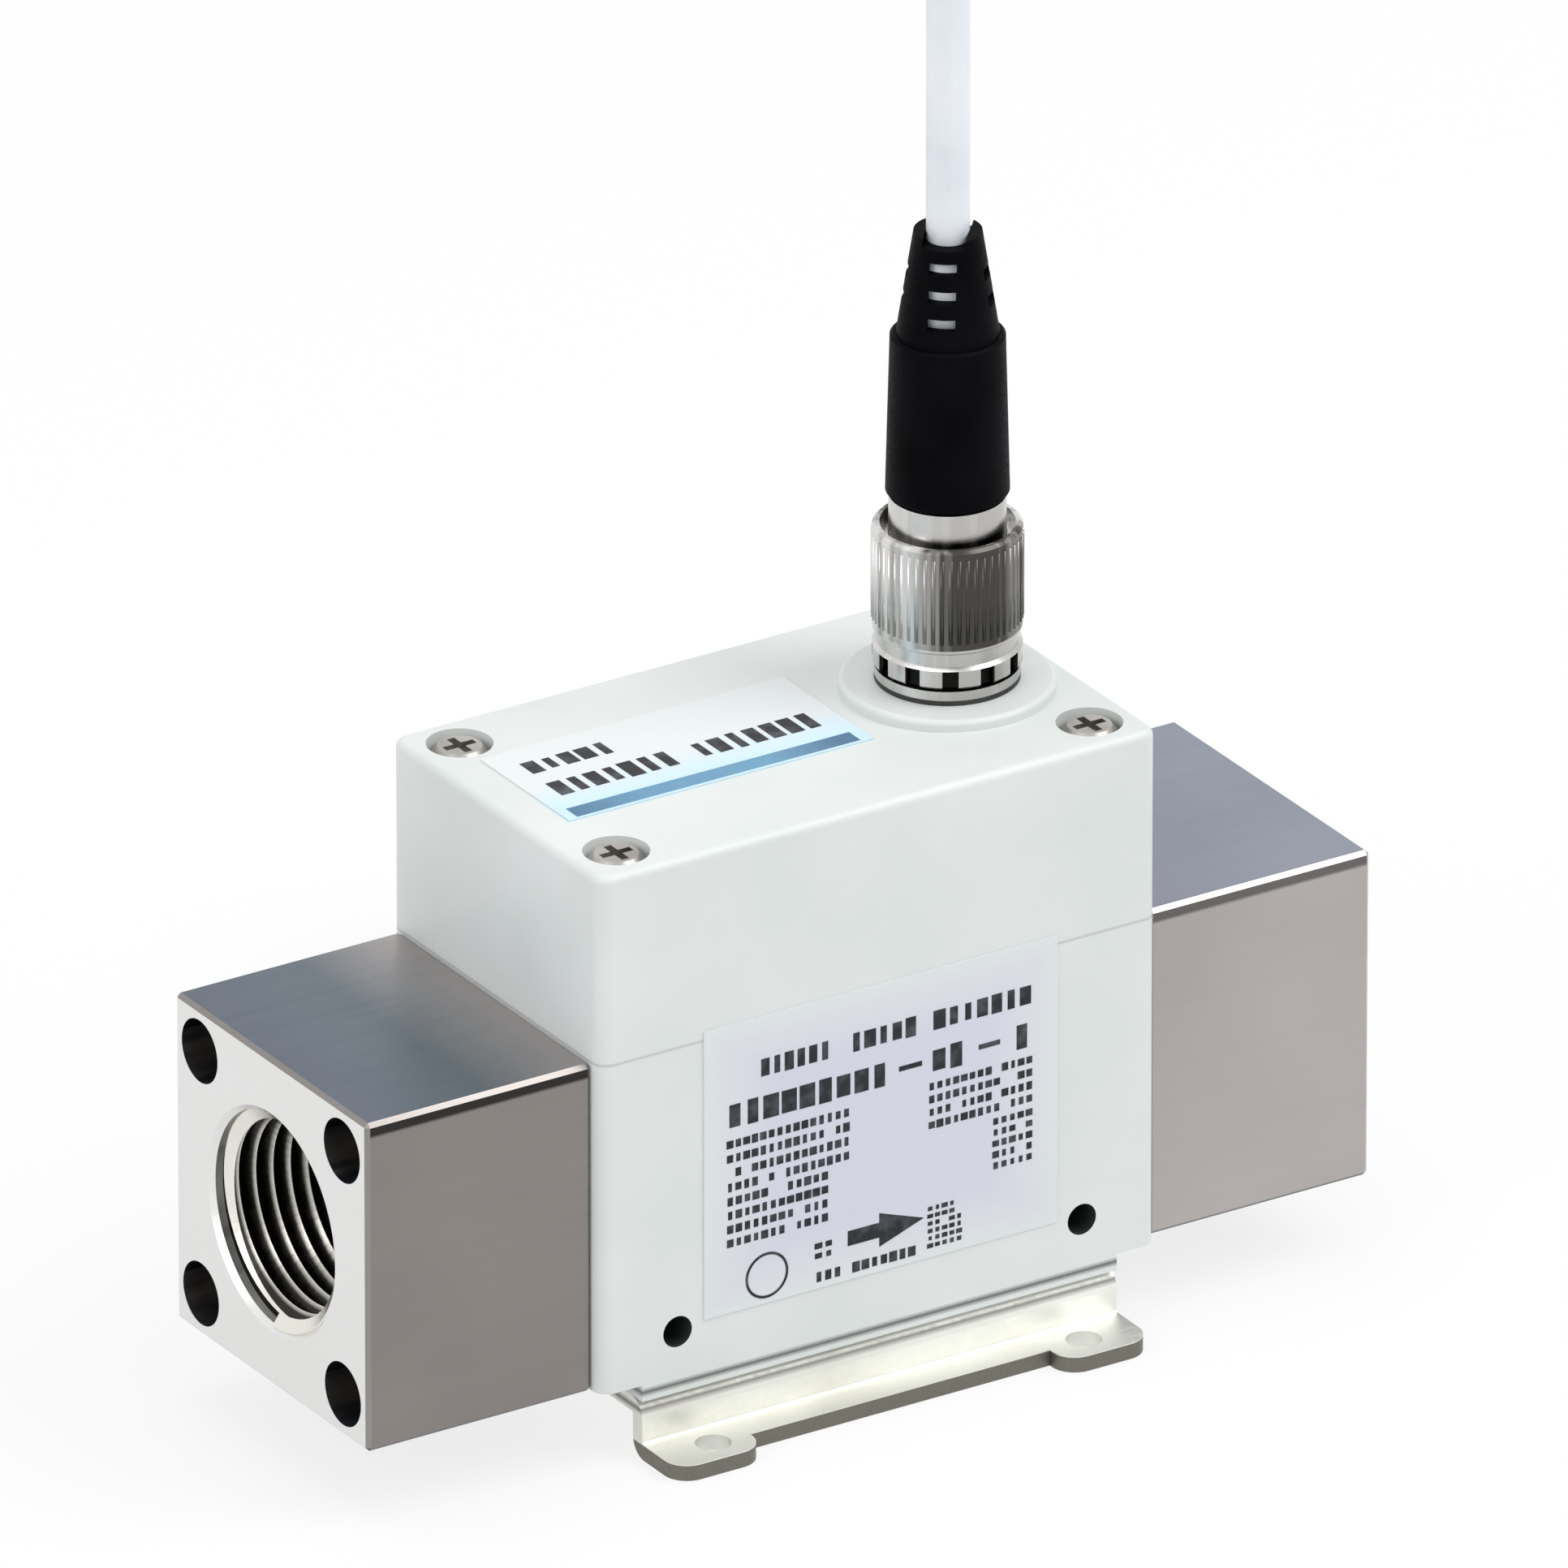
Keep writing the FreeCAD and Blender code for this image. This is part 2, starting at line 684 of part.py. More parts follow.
def make_sensor():
    body = new_body("piezo_sensor")
    barrel, flange = "sensor_diameter / 2", "sensor_flange / 2"
    groove = SENSOR_GROOVE
    inner = "sensor_diameter / 2 - sensor_seal_section + fit"
    turn(
        body,
        [
            ("0", PASSAGE_TOP),
            (barrel, PASSAGE_TOP),
            (barrel, groove),
            (inner, groove),
            (inner, f"{groove} + sensor_seal_section + fit"),
            (barrel, f"{groove} + sensor_seal_section + fit"),
            (barrel, f"{DECK} - sensor_flange_height"),
            (flange, f"{DECK} - sensor_flange_height"),
            (flange, DECK),
            ("0", DECK),
        ],
    )
    start = f"({PASSAGE_FLOOR} + vane_gap)"
    pad(body, "XY", [centred("vane_length", "vane_thickness")], start, f"{PASSAGE_TOP} - {start}")
    place(body, "sensor_place")
    middle = "(sensor_diameter - sensor_seal_section) / 2 + fit"
    seal = ring_seal("sensor_seal", middle, "sensor_seal_section")
    place(seal, "sensor_place", "0", f"{groove} + sensor_seal_section / 2")


def clamp_screw_places():
    left = "bar_place - bar_head / 2 - clamp_reach"
    right = "sensor_place + sensor_flange / 2 + clamp_reach"
    return [(left, "0"), (right, "0")]


def make_clamp():
    body = new_body("sensor_clamp")
    (left, _), (right, _) = clamp_screw_places()
    plate = rectangle(
        f"{left} - clamp_margin", f"{right} + clamp_margin", "-clamp_width / 2", "clamp_width / 2"
    )
    pad(body, "XY", [plate], DECK, "clamp_thickness")
    dress(body, "Fillet", "clamp_margin / 2", lambda edge: runs_along(edge, Vector(0, 0, 1)))
    holes = [(x, y, "deck_screw / 2 + fit") for x, y in clamp_screw_places()]
    holes.append(("sensor_place", "0", "clamp_window / 2"))
    pocket_up(body, "XY", holes, DECK, "clamp_thickness")


def make_deck_screws():
    body = new_body("deck_screw_source", node=False)
    shank, head, rise = "deck_screw / 2", "deck_screw_head / 2", "deck_screw_head_height"
    low = "-(deck_screw_length - deck_screw_room)"
    turn(body, [("0", low), (shank, low), (shank, "0")] + crown(head, rise))
    places = [(x, y, f"{DECK} + clamp_thickness") for x, y in clamp_screw_places()]
    group("clamp_screws", body, places)
    along, across = "pillar_spacing_along / 2", "pillar_spacing_across / 2"
    group("board_screws", body, corner_places(along, across, f"{BOARD} + board_thickness"))


def make_leads():
    """Two lead pins from the sensor's head up through the circuit board."""
    body = new_body("sensor_lead", node=False)
    rise = f"{BOARD} + board_thickness - {DECK} + lead_diameter"
    turn(body, rectangle("0", "lead_diameter / 2", "0", rise))
    places = [("sensor_place", f"{sign} * lead_pitch / 2", DECK) for sign in (-1, 1)]
    group("sensor_leads", body, places)


def pin_places(level):
    places = []
    for i in range(4):
        angle = f"({90 * i + 45}deg + plug_turn * 1deg)"
        x = f"{CONNECTOR} + pin_circle / 2 * cos{angle}"
        places.append((x, f"pin_circle / 2 * sin{angle}", level))
    return places


def make_board():
    body = new_body("circuit_board")
    pad(body, "XY", [compartment("-board_room")], BOARD, "board_thickness")
    holes = pillar_circles("deck_screw / 2 + fit")
    leads = [("sensor_place", f"{sign} * lead_pitch / 2", "lead_diameter / 2 + fit") for sign in (-1, 1)]
    pins = [(x, y, "pin_diameter / 2 + fit") for x, y, _ in pin_places("0")]
    pocket_up(body, "XY", holes + leads + pins, BOARD, "board_thickness")


def make_components():
    """Chips, a relay and capacitors on the board, as separate solids."""
    level = f"{BOARD} + board_thickness"
    parts = []
    for name, (x, y, length, width, height) in CHIPS.items():
        chip = doc.addObject("Part::Box", name)
        chip.Length = length
        chip.Width = width
        chip.Height = height
        place(chip, str(x), str(y), level)
        parts.append(chip)
    for x, y, radius, height in CAPACITORS:
        can = doc.addObject("Part::Cylinder", "capacitor")
        can.Radius = radius
        can.Height = height
        place(can, str(x), str(y), level)
        parts.append(can)
    compound = doc.addObject("Part::Compound", "board_components")
    compound.Links = parts
    keep(compound, "board_components")


# Round connector in the cover


def make_receptacle():
    body = new_body("connector_receptacle")
    bore, thread, flange = "shell_bore / 2", "shell_thread / 2", "shell_flange / 2"
    turn(
        body,
        [
            (bore, SHELL_LOW),
            (thread, SHELL_LOW),
            (thread, SEAT),
            (flange, SEAT),
            (flange, SHELL_BASE),
            (thread, SHELL_BASE),
            (thread, f"{SHELL_TOP} - shell_edge"),
            (f"{thread} - shell_edge", SHELL_TOP),
            (bore, SHELL_TOP),
        ],
    )
    place(body, CONNECTOR)
    seal = new_body("receptacle_seal")
    turn(seal, rectangle("shell_thread / 2 + fit", flange, f"{TOP} + boss_rise", SEAT))
    place(seal, CONNECTOR)
    nut = new_body("receptacle_nut")
    corner = "shell_nut / sqrt(3)"
    angles = [f"({60 * i + 30}deg)" for i in range(6)]
    hexagon = [(f"{corner} * cos{angle}", f"{corner} * sin{angle}") for angle in angles]
    opening = ("0", "0", "shell_thread / 2 + fit")
    pad(nut, "XY", [hexagon, opening], f"{SEAM} - shell_nut_height", "shell_nut_height")
    place(nut, CONNECTOR)


def make_receptacle_core():
    body = new_body("receptacle_insert")
    pad(body, "XY", [("0", "0", "shell_bore / 2 - fit")], SHELL_LOW, "shell_insert_height")
    holes = [(x, y, "pin_diameter / 2 + fit") for x, y, _ in own_pin_places()]
    pocket_up(body, "XY", holes, SHELL_LOW, "shell_insert_height")
    place(body, CONNECTOR)
    pin = new_body("receptacle_pin", node=False)
    rise = f"{SHELL_BASE} + pin_rise - {BOARD} + pin_diameter"
    radius = "pin_diameter / 2"
    tip = [(radius, f"{rise} - pin_tip"), (f"{radius} - pin_tip / 3", rise), ("0", rise)]
    turn(pin, [("0", "0"), (radius, "0")] + tip)
    group("receptacle_pins", pin, pin_places(f"{BOARD} - pin_diameter"))


def own_pin_places():
    """Pin centres measured from the connector's own axis."""
    angles = [f"({90 * i + 45}deg + plug_turn * 1deg)" for i in range(4)]
    return [(f"pin_circle / 2 * cos{angle}", f"pin_circle / 2 * sin{angle}", "0") for angle in angles]


def make_coupling_nut():
    body = new_body("coupling_nut")
    bore, lip, recess = "shell_thread / 2 + fit", "collar_diameter / 2 + fit", "nut_recess / 2"
    outer, neck = "nut_diameter / 2", "nut_neck / 2"
    ring = f"{NUT_BASE} + nut_ring_height"
    sleeve = f"{ring} + nut_neck_height"
    lip_top = f"({NUT_TOP} - nut_recess_height)"
    lip_base = f"({COLLAR_BASE} + collar_flange_height + fit)"
    edge = "nut_edge"
    turn(
        body,
        [
            (bore, NUT_BASE),
            (f"{outer} - {edge}", NUT_BASE),
            (outer, f"{NUT_BASE} + {edge}"),
            (outer, ring),
            (neck, f"{ring} + {edge}"),
            (neck, f"{sleeve} - {edge}"),
            (outer, sleeve),
            (outer, f"{NUT_TOP} - {edge}"),
            (f"{outer} - {edge}", NUT_TOP),
            (recess, NUT_TOP),
            (recess, lip_top),
            (lip, lip_top),
            (lip, lip_base),
            (bore, lip_base),
        ],
    )
    deep, half = "nut_notch_depth", "nut_notch_width / 2"
    notch = rectangle(f"{outer} - {deep}", f"{outer} + {deep}", f"-{half}", half)
    cut = pocket_up(body, "XY", [notch], NUT_BASE, "nut_ring_height")
    doc.recompute()
    pattern = body.newObject("PartDesign::PolarPattern", "coupling_nut_pattern")
    pattern.Originals = [cut]
    pattern.Axis = (cut.Profile[0], ["N_Axis"])
    pattern.Angle = 360
    pattern.setExpression("Occurrences", bound("nut_notch_count"))
    body.Tip = pattern
    place(body, CONNECTOR)


def make_plug_inner():
    collar = new_body("plug_collar")
    inner, outer = "plug_core / 2 + fit", "collar_diameter / 2"
    flange, tail = "collar_flange / 2", "collar_tail / 2"
    turn(
        collar,
        [
            (inner, COLLAR_BASE),
            (flange, COLLAR_BASE),
            (flange, f"{COLLAR_BASE} + collar_flange_height"),
            (outer, f"{COLLAR_BASE} + collar_flange_height"),
            (outer, PLUG_BASE),
            (tail, PLUG_BASE),
            (tail, f"{PLUG_BASE} + collar_tail_height"),
            (inner, f"{PLUG_BASE} + collar_tail_height"),
        ],
    )
    place(collar, CONNECTOR)
    core = new_body("plug_insert")
    low = f"({SHELL_LOW} + shell_insert_height + plug_core_gap)"
    high = f"({PLUG_BASE} + collar_tail_height)"
    pad(core, "XY", [("0", "0", "plug_core / 2")], low, f"{high} - {low}")
    holes = [(x, y, "contact_diameter / 2 + fit") for x, y, _ in own_pin_places()]
    pocket_up(core, "XY", holes, low, f"{high} - {low}")
    place(core, CONNECTOR)
    contact = new_body("plug_contact", node=False)
    wall = "contact_diameter / 2 - contact_wall"
    turn(contact, rectangle(wall, "contact_diameter / 2", "0", f"{high} - {low}"))
    group("plug_contacts", contact, pin_places(low))
    seal = ring_seal("plug_gasket", "(plug_core + plug_gasket_section) / 2 + fit", "plug_gasket_section")
    place(seal, CONNECTOR, "0", f"{SHELL_TOP} + plug_gasket_section / 2")


def make_plug_body():
    """Moulded plug: a tapered grip and a slotted strain relief that shows the cable inside."""
    body = new_body("plug_body")
    edge = "plug_edge"
    inner = "collar_tail / 2"
    start = CABLE_START
    cable = "cable_diameter / 2"
    turn(
        body,
        [
            (inner, PLUG_BASE),
            (f"plug_foot / 2 - {edge}", PLUG_BASE),
            ("plug_foot / 2", f"{PLUG_BASE} + {edge}"),
            ("plug_shoulder / 2", f"{SHOULDER} - {edge} / 2"),
            (f"plug_shoulder / 2 - {edge} / 2", SHOULDER),
            ("relief_foot / 2", SHOULDER),
            ("relief_top / 2", RELIEF_TOP),
            (cable, RELIEF_TOP),
            (cable, start),
            ("0", start),
            ("0", f"{PLUG_BASE} + collar_tail_height"),
            (inner, f"{PLUG_BASE} + collar_tail_height"),
        ],
    )
    reach = "relief_foot"
    front = rectangle("-relief_slot_width / 2", "relief_slot_width / 2", f"-{reach}", reach)
    side = rectangle(f"-{reach}", reach, "-relief_slot_width / 2", "relief_slot_width / 2")
    hollow = ("0", "0", cable)
    for i in range(3):
        level = f"{SHOULDER} + relief_slot_start + {i} * relief_slot_pitch"
        pocket_up(body, "XY", [front], level, "relief_slot_height")
    for i in range(2):
        level = f"{SHOULDER} + relief_slot_start + {i + 0.5} * relief_slot_pitch"
        pocket_up(body, "XY", [side], level, "relief_slot_height")
    notch = rectangle("-cable_diameter / 2", "cable_diameter / 2", f"-{reach}", reach)
    pocket_down(body, "XY", [notch], RELIEF_TOP, "relief_cut")
    body.Placement = Placement(Vector(), Rotation(Vector(0, 0, 1), value("plug_turn")))
    body.setExpression("Placement.Rotation.Angle", bound("plug_turn * 1deg"))
    place(body, CONNECTOR)


# Bracket under the housing, and the labels


def bends_at(edge, y, z):
    """Whether an edge runs lengthwise at a distance from the middle plane and a height."""
    box = edge.BoundBox
    place_fits = abs(abs(box.YMin) - value(y)) < 1e-3 and abs(box.ZMin - value(z)) < 1e-3
    return runs_along(edge, Vector(1, 0, 0)) and place_fits


def make_bracket():
    body = new_body("bracket")
    outer, inner = "housing_width / 2", "(housing_width / 2 - sheet)"
    edge, rise = "bracket_width / 2", "bracket_rise"
    right = [(inner, "0"), (edge, "0"), (edge, "sheet"), (outer, "sheet"), (outer, rise)]
    left = [(f"-{y}", z) for y, z in right[::-1]]
    under = [(f"-{inner}", f"{rise} - sheet"), (inner, f"{rise} - sheet")]
    section = right + left + under
    half = "(housing_length / 2 - foot_inset)"
    pad(body, "YZ", [section], f"-{half}", f"2 * {half}")
    hollow = f"{rise} - sheet"
    outside = [(outer, rise), (inner, "0")]
    inside = [(outer, "sheet"), (inner, hollow)]
    dress(body, "Fillet", "bend_inside + sheet", lambda e: any(bends_at(e, *at) for at in outside))
    dress(body, "Fillet", "bend_inside", lambda e: any(bends_at(e, *at) for at in inside))
    reach = "(bracket_width / 2 - tab_reach)"
    for sign in (-1, 1):
        gap = rectangle(
            f"-{half} + tab_length", f"{half} - tab_length", f"{sign} * {reach}", f"{sign} * bracket_width"
        )
        pocket_up(body, "XY", [gap], "0", "sheet")
    tip = value("bracket_width / 2")
    dress(
        body,
        "Fillet",
        "tab_corner",
        lambda e: runs_along(e, Vector(0, 0, 1)) and abs(abs(e.BoundBox.YMin) - tip) < 1e-3,
    )
    holes = four_circles(f"{half} - tab_hole_inset", f"{edge} - tab_hole_margin", "tab_hole / 2")
    pocket_up(body, "XY", holes, "0", "sheet")
    screws = four_circles("bracket_screw_along / 2", "bracket_screw_across / 2", "screw_hole / 2")
    pocket_up(body, "XY", screws, f"{rise} - sheet", "sheet")


def make_bracket_fittings(insert):
    along, across = "bracket_screw_along / 2", "bracket_screw_across / 2"
    screw = make_pan_screw("bracket_screw", "(sheet + insert_length - screw_room)")
    upside_down = Rotation(Vector(1, 0, 0), 180)
    under = corner_places(along, across, "bracket_rise - sheet")
    group("bracket_screws", screw, under, upside_down)
    group("bracket_inserts", insert, corner_places(along, across, "bracket_rise"), upside_down)


def make_labels():
    front = new_body("front_label")
    outline = rectangle(
        "-front_label_length / 2",
        "front_label_length / 2",
        f"{BASE} + front_label_rise",
        f"{BASE} + front_label_rise + front_label_height",
    )
    pad(front, "XZ", [outline], "housing_width / 2 + label_thickness", "label_thickness")
    top = new_body("top_label")
    field = rectangle(
        "-housing_length / 2 + top_label_start",
        f"{CONNECTOR} - boss_diameter / 2 - top_label_gap",
        "top_label_shift - top_label_width / 2",
        "top_label_shift + top_label_width / 2",
    )
    pad(top, "XY", [field], TOP, "label_thickness")


# Cable: a free stretch, a coil on the floor, a tail round the coil and four stripped cores


def route_edges(points):
    """Straight runs joined by tangent arcs, each as large as its two runs allow."""
    edges = []
    last = points[0]
    for before, corner, after in zip(points, points[1:], points[2:]):
        into, out = corner - before, after - corner
        shorter = min(into.Length, out.Length)
        into.normalize()
        out.normalize()
        half = into.getAngle(out) / 2
        setback = ARC_SHARE * shorter
        radius = setback / math.tan(half)
        print(f"cable bend: radius {radius:.1f} mm, turn {math.degrees(2 * half):.1f} degrees")
        start, end = corner - into * setback, corner + out * setback
        inward = out - into
        inward.normalize()
        middle = corner + inward * (radius / math.cos(half) - radius)
        edges.append(Part.LineSegment(last, start).toShape())
        edges.append(Part.Arc(start, middle, end).toShape())
        last = end
    edges.append(Part.LineSegment(last, points[-1]).toShape())
    return edges


def make_tube(name, edges, radius):
    """A round solid along a chain of lines and arcs, compared with section times length."""
    path = Part.Wire(edges)
    first = edges[0]
    start = first.valueAt(first.FirstParameter)
    ahead = first.tangentAt(first.FirstParameter)
    circle = Part.Wire(Part.makeCircle(radius, start, ahead))
    solid = path.makePipeShell([circle], True, False)
    expected = math.pi * radius**2 * path.Length
    share = solid.Volume / expected
    print(f"{name}: {path.Length:.1f} mm long, volume {share:.4f} of section times length")
    if abs(share - 1) > 0.01:
        raise ValueError(name + " has the wrong volume")
    feature = doc.addObject("Part::Feature", name)
    feature.Shape = solid
    return keep(feature, name), path.Length


def heading(degrees):
    return Vector(math.cos(math.radians(degrees)), math.sin(math.radians(degrees)), 0)


def make_cable():
    wide = value("cable_diameter")
    ahead = heading(value("cable_heading"))
    axis = Vector(value(CONNECTOR), 0, 0)
    centre = Vector(value(COIL_PLACE), value(COIL_SIDE), 0)
    nearest = (centre - axis).dot(ahead)
    lying = value(f"{COIL_TOP} + cable_diameter / 2 + cable_room")
    stops = [(0, value(CABLE_START))] + CABLE_BENDS
    stops += [(nearest + reach, lying + rise) for reach, rise in LANDING]
    points = [axis + ahead * reach + Vector(0, 0, height) for reach, height in stops]
    _, length = make_tube("cable", route_edges(points), wide / 2)
    return length


def make_coil():
    body = new_body("cable_coil")
    inner = "coil_radius - cable_diameter * coil_columns / 2"
    turn(body, rectangle(inner, COIL_OUTER, "0", COIL_TOP))
    place(body, COIL_PLACE, COIL_SIDE)
    return 2 * math.pi * value("coil_radius * coil_columns * coil_layers")


def make_tail():
    """The cable's end lies on the floor round the coil."""
    level = value("cable_diameter / 2 + cable_room")
    middle = Vector(value(COIL_PLACE), value(COIL_SIDE), level)
    radius = value(f"{COIL_OUTER} + cable_diameter / 2 + cable_room")
    first, sweep = value("tail_start"), value("tail_sweep")
    at = [middle + heading(first + part) * radius for part in (0, sweep / 2, sweep)]
    _, length = make_tube("cable_tail", [Part.Arc(*at).toShape()], value("cable_diameter / 2"))
    return length, at[-1], heading(first + sweep + 90)


def make_cores(end, ahead):
    """Four cores that leave the cut sheath straight and then fan out on the floor."""
    left = Vector(-ahead.y, ahead.x, 0)
    half = value("core_pitch / 2")
    straight = value("core_straight")
    tips = []
    for name, (radius, side, rise) in CORE_BENDS.items():
        start = end + left * (half * side) + Vector(0, 0, half * rise)
        bend = start + ahead * straight
        turned = (value("core_length") - straight) / radius
        centre = bend + left * radius
        middle, last = [
            centre - left * (radius * math.cos(part)) + ahead * (radius * math.sin(part))
            for part in (turned / 2, turned)
        ]
        edges = [Part.LineSegment(start, bend).toShape(), Part.Arc(bend, middle, last).toShape()]
        make_tube(name, edges, value("core_diameter / 2"))
        out = ahead * math.cos(turned) + left * math.sin(turned)
        tips.append(Part.makeCylinder(value("tip_diameter / 2"), value("tip_length"), last, out))
    feature = doc.addObject("Part::Feature", "core_tips")
    feature.Shape = Part.makeCompound(tips)
    keep(feature, "core_tips")


# Build everything, check it and write one file for each sub-part


def check_cuts():
    for feature in doc.Objects:
        if feature.isDerivedFrom("PartDesign::Pocket") or feature.isDerivedFrom("PartDesign::Pad"):
            base = feature.BaseFeature
            if base and abs(base.Shape.Volume - feature.Shape.Volume) < 1e-6:
                raise ValueError(feature.Name + " changes nothing")


def write_nodes():
    for thing in doc.Objects:
        if "Invalid" in thing.State or "Error" in thing.State:
            raise ValueError(thing.Name + " failed: " + ", ".join(thing.State))
    for thing in nodes:
        if thing.Shape.isNull() or not thing.Shape.isValid() or not thing.Shape.Solids:
            raise ValueError(thing.Label + " has no valid solid")
    check_cuts()
    os.makedirs("parts", exist_ok=True)
    for thing in nodes:
        thing.Shape.exportStep("parts/" + thing.Label + ".step")
    print(len(nodes), "sub-parts written")


insert = make_insert()
make_housing()
make_cover()
make_gasket()
make_cover_screws(insert)
make_block("inlet_block", -1)
make_block("outlet_block", 1)
make_block_fittings(insert)
make_straightener()
make_vortex_bar()
make_sensor()
make_clamp()
make_deck_screws()
make_leads()
make_board()
make_components()
make_receptacle()
make_receptacle_core()
make_coupling_nut()
make_plug_inner()
make_plug_body()
make_bracket()
make_bracket_fittings(insert)
make_labels()
free_length = make_cable()
coil_length = make_coil()
tail_length, tail_end, tail_ahead = make_tail()
make_cores(tail_end, tail_ahead)
print(f"cable length in all: {free_length + coil_length + tail_length:.0f} mm")
doc.recompute()
write_nodes()
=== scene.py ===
import json
import math

import bmesh
import bpy
from mathutils import Matrix, Vector


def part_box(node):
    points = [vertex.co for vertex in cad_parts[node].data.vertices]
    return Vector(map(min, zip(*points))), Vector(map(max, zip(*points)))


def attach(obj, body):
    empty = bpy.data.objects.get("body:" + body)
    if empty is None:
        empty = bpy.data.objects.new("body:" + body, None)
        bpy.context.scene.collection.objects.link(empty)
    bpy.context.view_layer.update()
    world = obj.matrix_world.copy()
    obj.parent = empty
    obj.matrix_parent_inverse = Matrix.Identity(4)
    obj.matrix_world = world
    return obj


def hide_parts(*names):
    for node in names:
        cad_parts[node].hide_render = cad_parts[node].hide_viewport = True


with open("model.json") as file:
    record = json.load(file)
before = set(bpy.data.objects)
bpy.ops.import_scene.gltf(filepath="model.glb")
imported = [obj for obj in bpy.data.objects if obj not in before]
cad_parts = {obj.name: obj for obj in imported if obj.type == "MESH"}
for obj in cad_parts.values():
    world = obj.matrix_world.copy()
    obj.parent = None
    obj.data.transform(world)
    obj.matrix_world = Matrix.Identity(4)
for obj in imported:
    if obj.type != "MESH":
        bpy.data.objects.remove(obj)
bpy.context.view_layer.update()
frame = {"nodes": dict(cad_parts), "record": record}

for leftOver in ("Cube", "Light", "Camera"):
    if leftOver in bpy.data.objects:
        bpy.data.objects.remove(bpy.data.objects[leftOver])


# Places that several pieces share, in metres

mm = 0.001
connector = (18.6 * mm, 0)  # axis of the round connector, as X and Y
portHeight = 24 * mm
endFace = 54 * mm  # both end faces lie this far from the middle


# Nodes and links, for materials as well as geometry node trees


# gives a socket a link, a color without its alpha, or another value
def feed(tree, socket, given):
    if isinstance(given, bpy.types.NodeSocket):
        tree.links.new(given, socket)
    elif socket.type == "RGBA":
        socket.default_value = (*given, 1)
    else:
        socket.default_value = given


def addNode(tree, kind, given=None, **settings):
    node = tree.nodes.new(kind)
    for setting, chosen in settings.items():
        setattr(node, setting, chosen)
    for label, source in (given or {}).items():
        feed(tree, next(s for s in node.inputs if s.name == label and s.enabled), source)
    return node


def shownOutput(node):
    return next(s for s in node.outputs if s.enabled)


def addMath(tree, operation, first, second=None):
    node = addNode(tree, "ShaderNodeMath", operation=operation)
    feed(tree, node.inputs[0], first)
    if second is not None:
        feed(tree, node.inputs[1], second)
    return node.outputs[0]


def addMix(tree, share, first, second, blend="MIX"):
    given = {"Factor": share, "A": first, "B": second}
    return shownOutput(addNode(tree, "ShaderNodeMix", given, data_type="RGBA", blend_type=blend))


# Camera, floor and light

cameraView = {
    "azimuth": -32.2862,
    "elevation": 25.4509,
    "distance": 4.2046,
    "lens": 1060.4,
    "sensor": 36,
    "target": (0.00211, 0.00174, 0.05307),
}

studio = {
    "floorSide": 8,
    "floorLevel": -0.0001,
    "floorColor": (0.86, 0.86, 0.86),
    "floorGlow": 0.8,  # share of plain white that the camera and mirrors see on the floor
    "roomLight": 0.62,
    "roomTint": (0.96, 0.98, 1.0),
    "white": (1, 1, 1),
}

# direction from the object, distance, size in metres, power in watts, tint
lamps = {
    "keyLamp": ((0.48, -0.43, 0.76), 1.3, 0.9, 7.5, (1, 1, 1)),
    "leftLamp": ((-0.85, -0.2, 0.45), 1.3, 0.8, 4.2, (1, 0.985, 1)),
    "topLamp": ((-0.1, 0.1, 1.0), 1.2, 0.7, 3.2, (1, 1, 1)),
}


def addCamera(view):
    azimuth, elevation = math.radians(view["azimuth"]), math.radians(view["elevation"])
    level = math.cos(elevation)
    back = Vector((math.sin(azimuth) * level, -math.cos(azimuth) * level, math.sin(elevation)))
    data = bpy.data.cameras.new("photoCamera")
    data.lens = view["lens"]
    data.sensor_width = view["sensor"]
    camera = bpy.data.objects.new("photoCamera", data)
    camera.location = Vector(view["target"]) + back * view["distance"]
    camera.rotation_mode = "QUATERNION"
    camera.rotation_quaternion = (-back).to_track_quat("-Z", "Y")
    bpy.context.scene.collection.objects.link(camera)
    bpy.context.scene.camera = camera


def addLamp(name, direction, distance, size, power, tint):
    data = bpy.data.lights.new(name, "AREA")
    data.shape = "DISK"
    data.size = size
    data.energy = power
    data.color = tint
    lamp = bpy.data.objects.new(name, data)
    away = Vector(direction).normalized()
    lamp.location = away * distance
    lamp.rotation_mode = "QUATERNION"
    lamp.rotation_quaternion = away.to_track_quat("Z", "Y")
    bpy.context.scene.collection.objects.link(lamp)


# 1 where the camera, a mirror or glass looks at something, 0 for the light it throws
def seenDirectly(tree):
    path = addNode(tree, "ShaderNodeLightPath")
    seen = path.outputs["Is Camera Ray"]
    for kind in ("Is Glossy Ray", "Is Transmission Ray"):
        seen = addMath(tree, "MAXIMUM", seen, path.outputs[kind])
    return seen


# ends a tree with one surface for the light that it throws and, by a share, one that is seen
def endSurface(tree, kind, share, thrown, seen):
    mix = addNode(tree, "ShaderNodeMixShader")
    output = addNode(tree, kind)
    for socket, source in zip(mix.inputs, (share, thrown.outputs[0], seen.outputs[0])):
        tree.links.new(source, socket)
    tree.links.new(mix.outputs[0], output.inputs["Surface"])


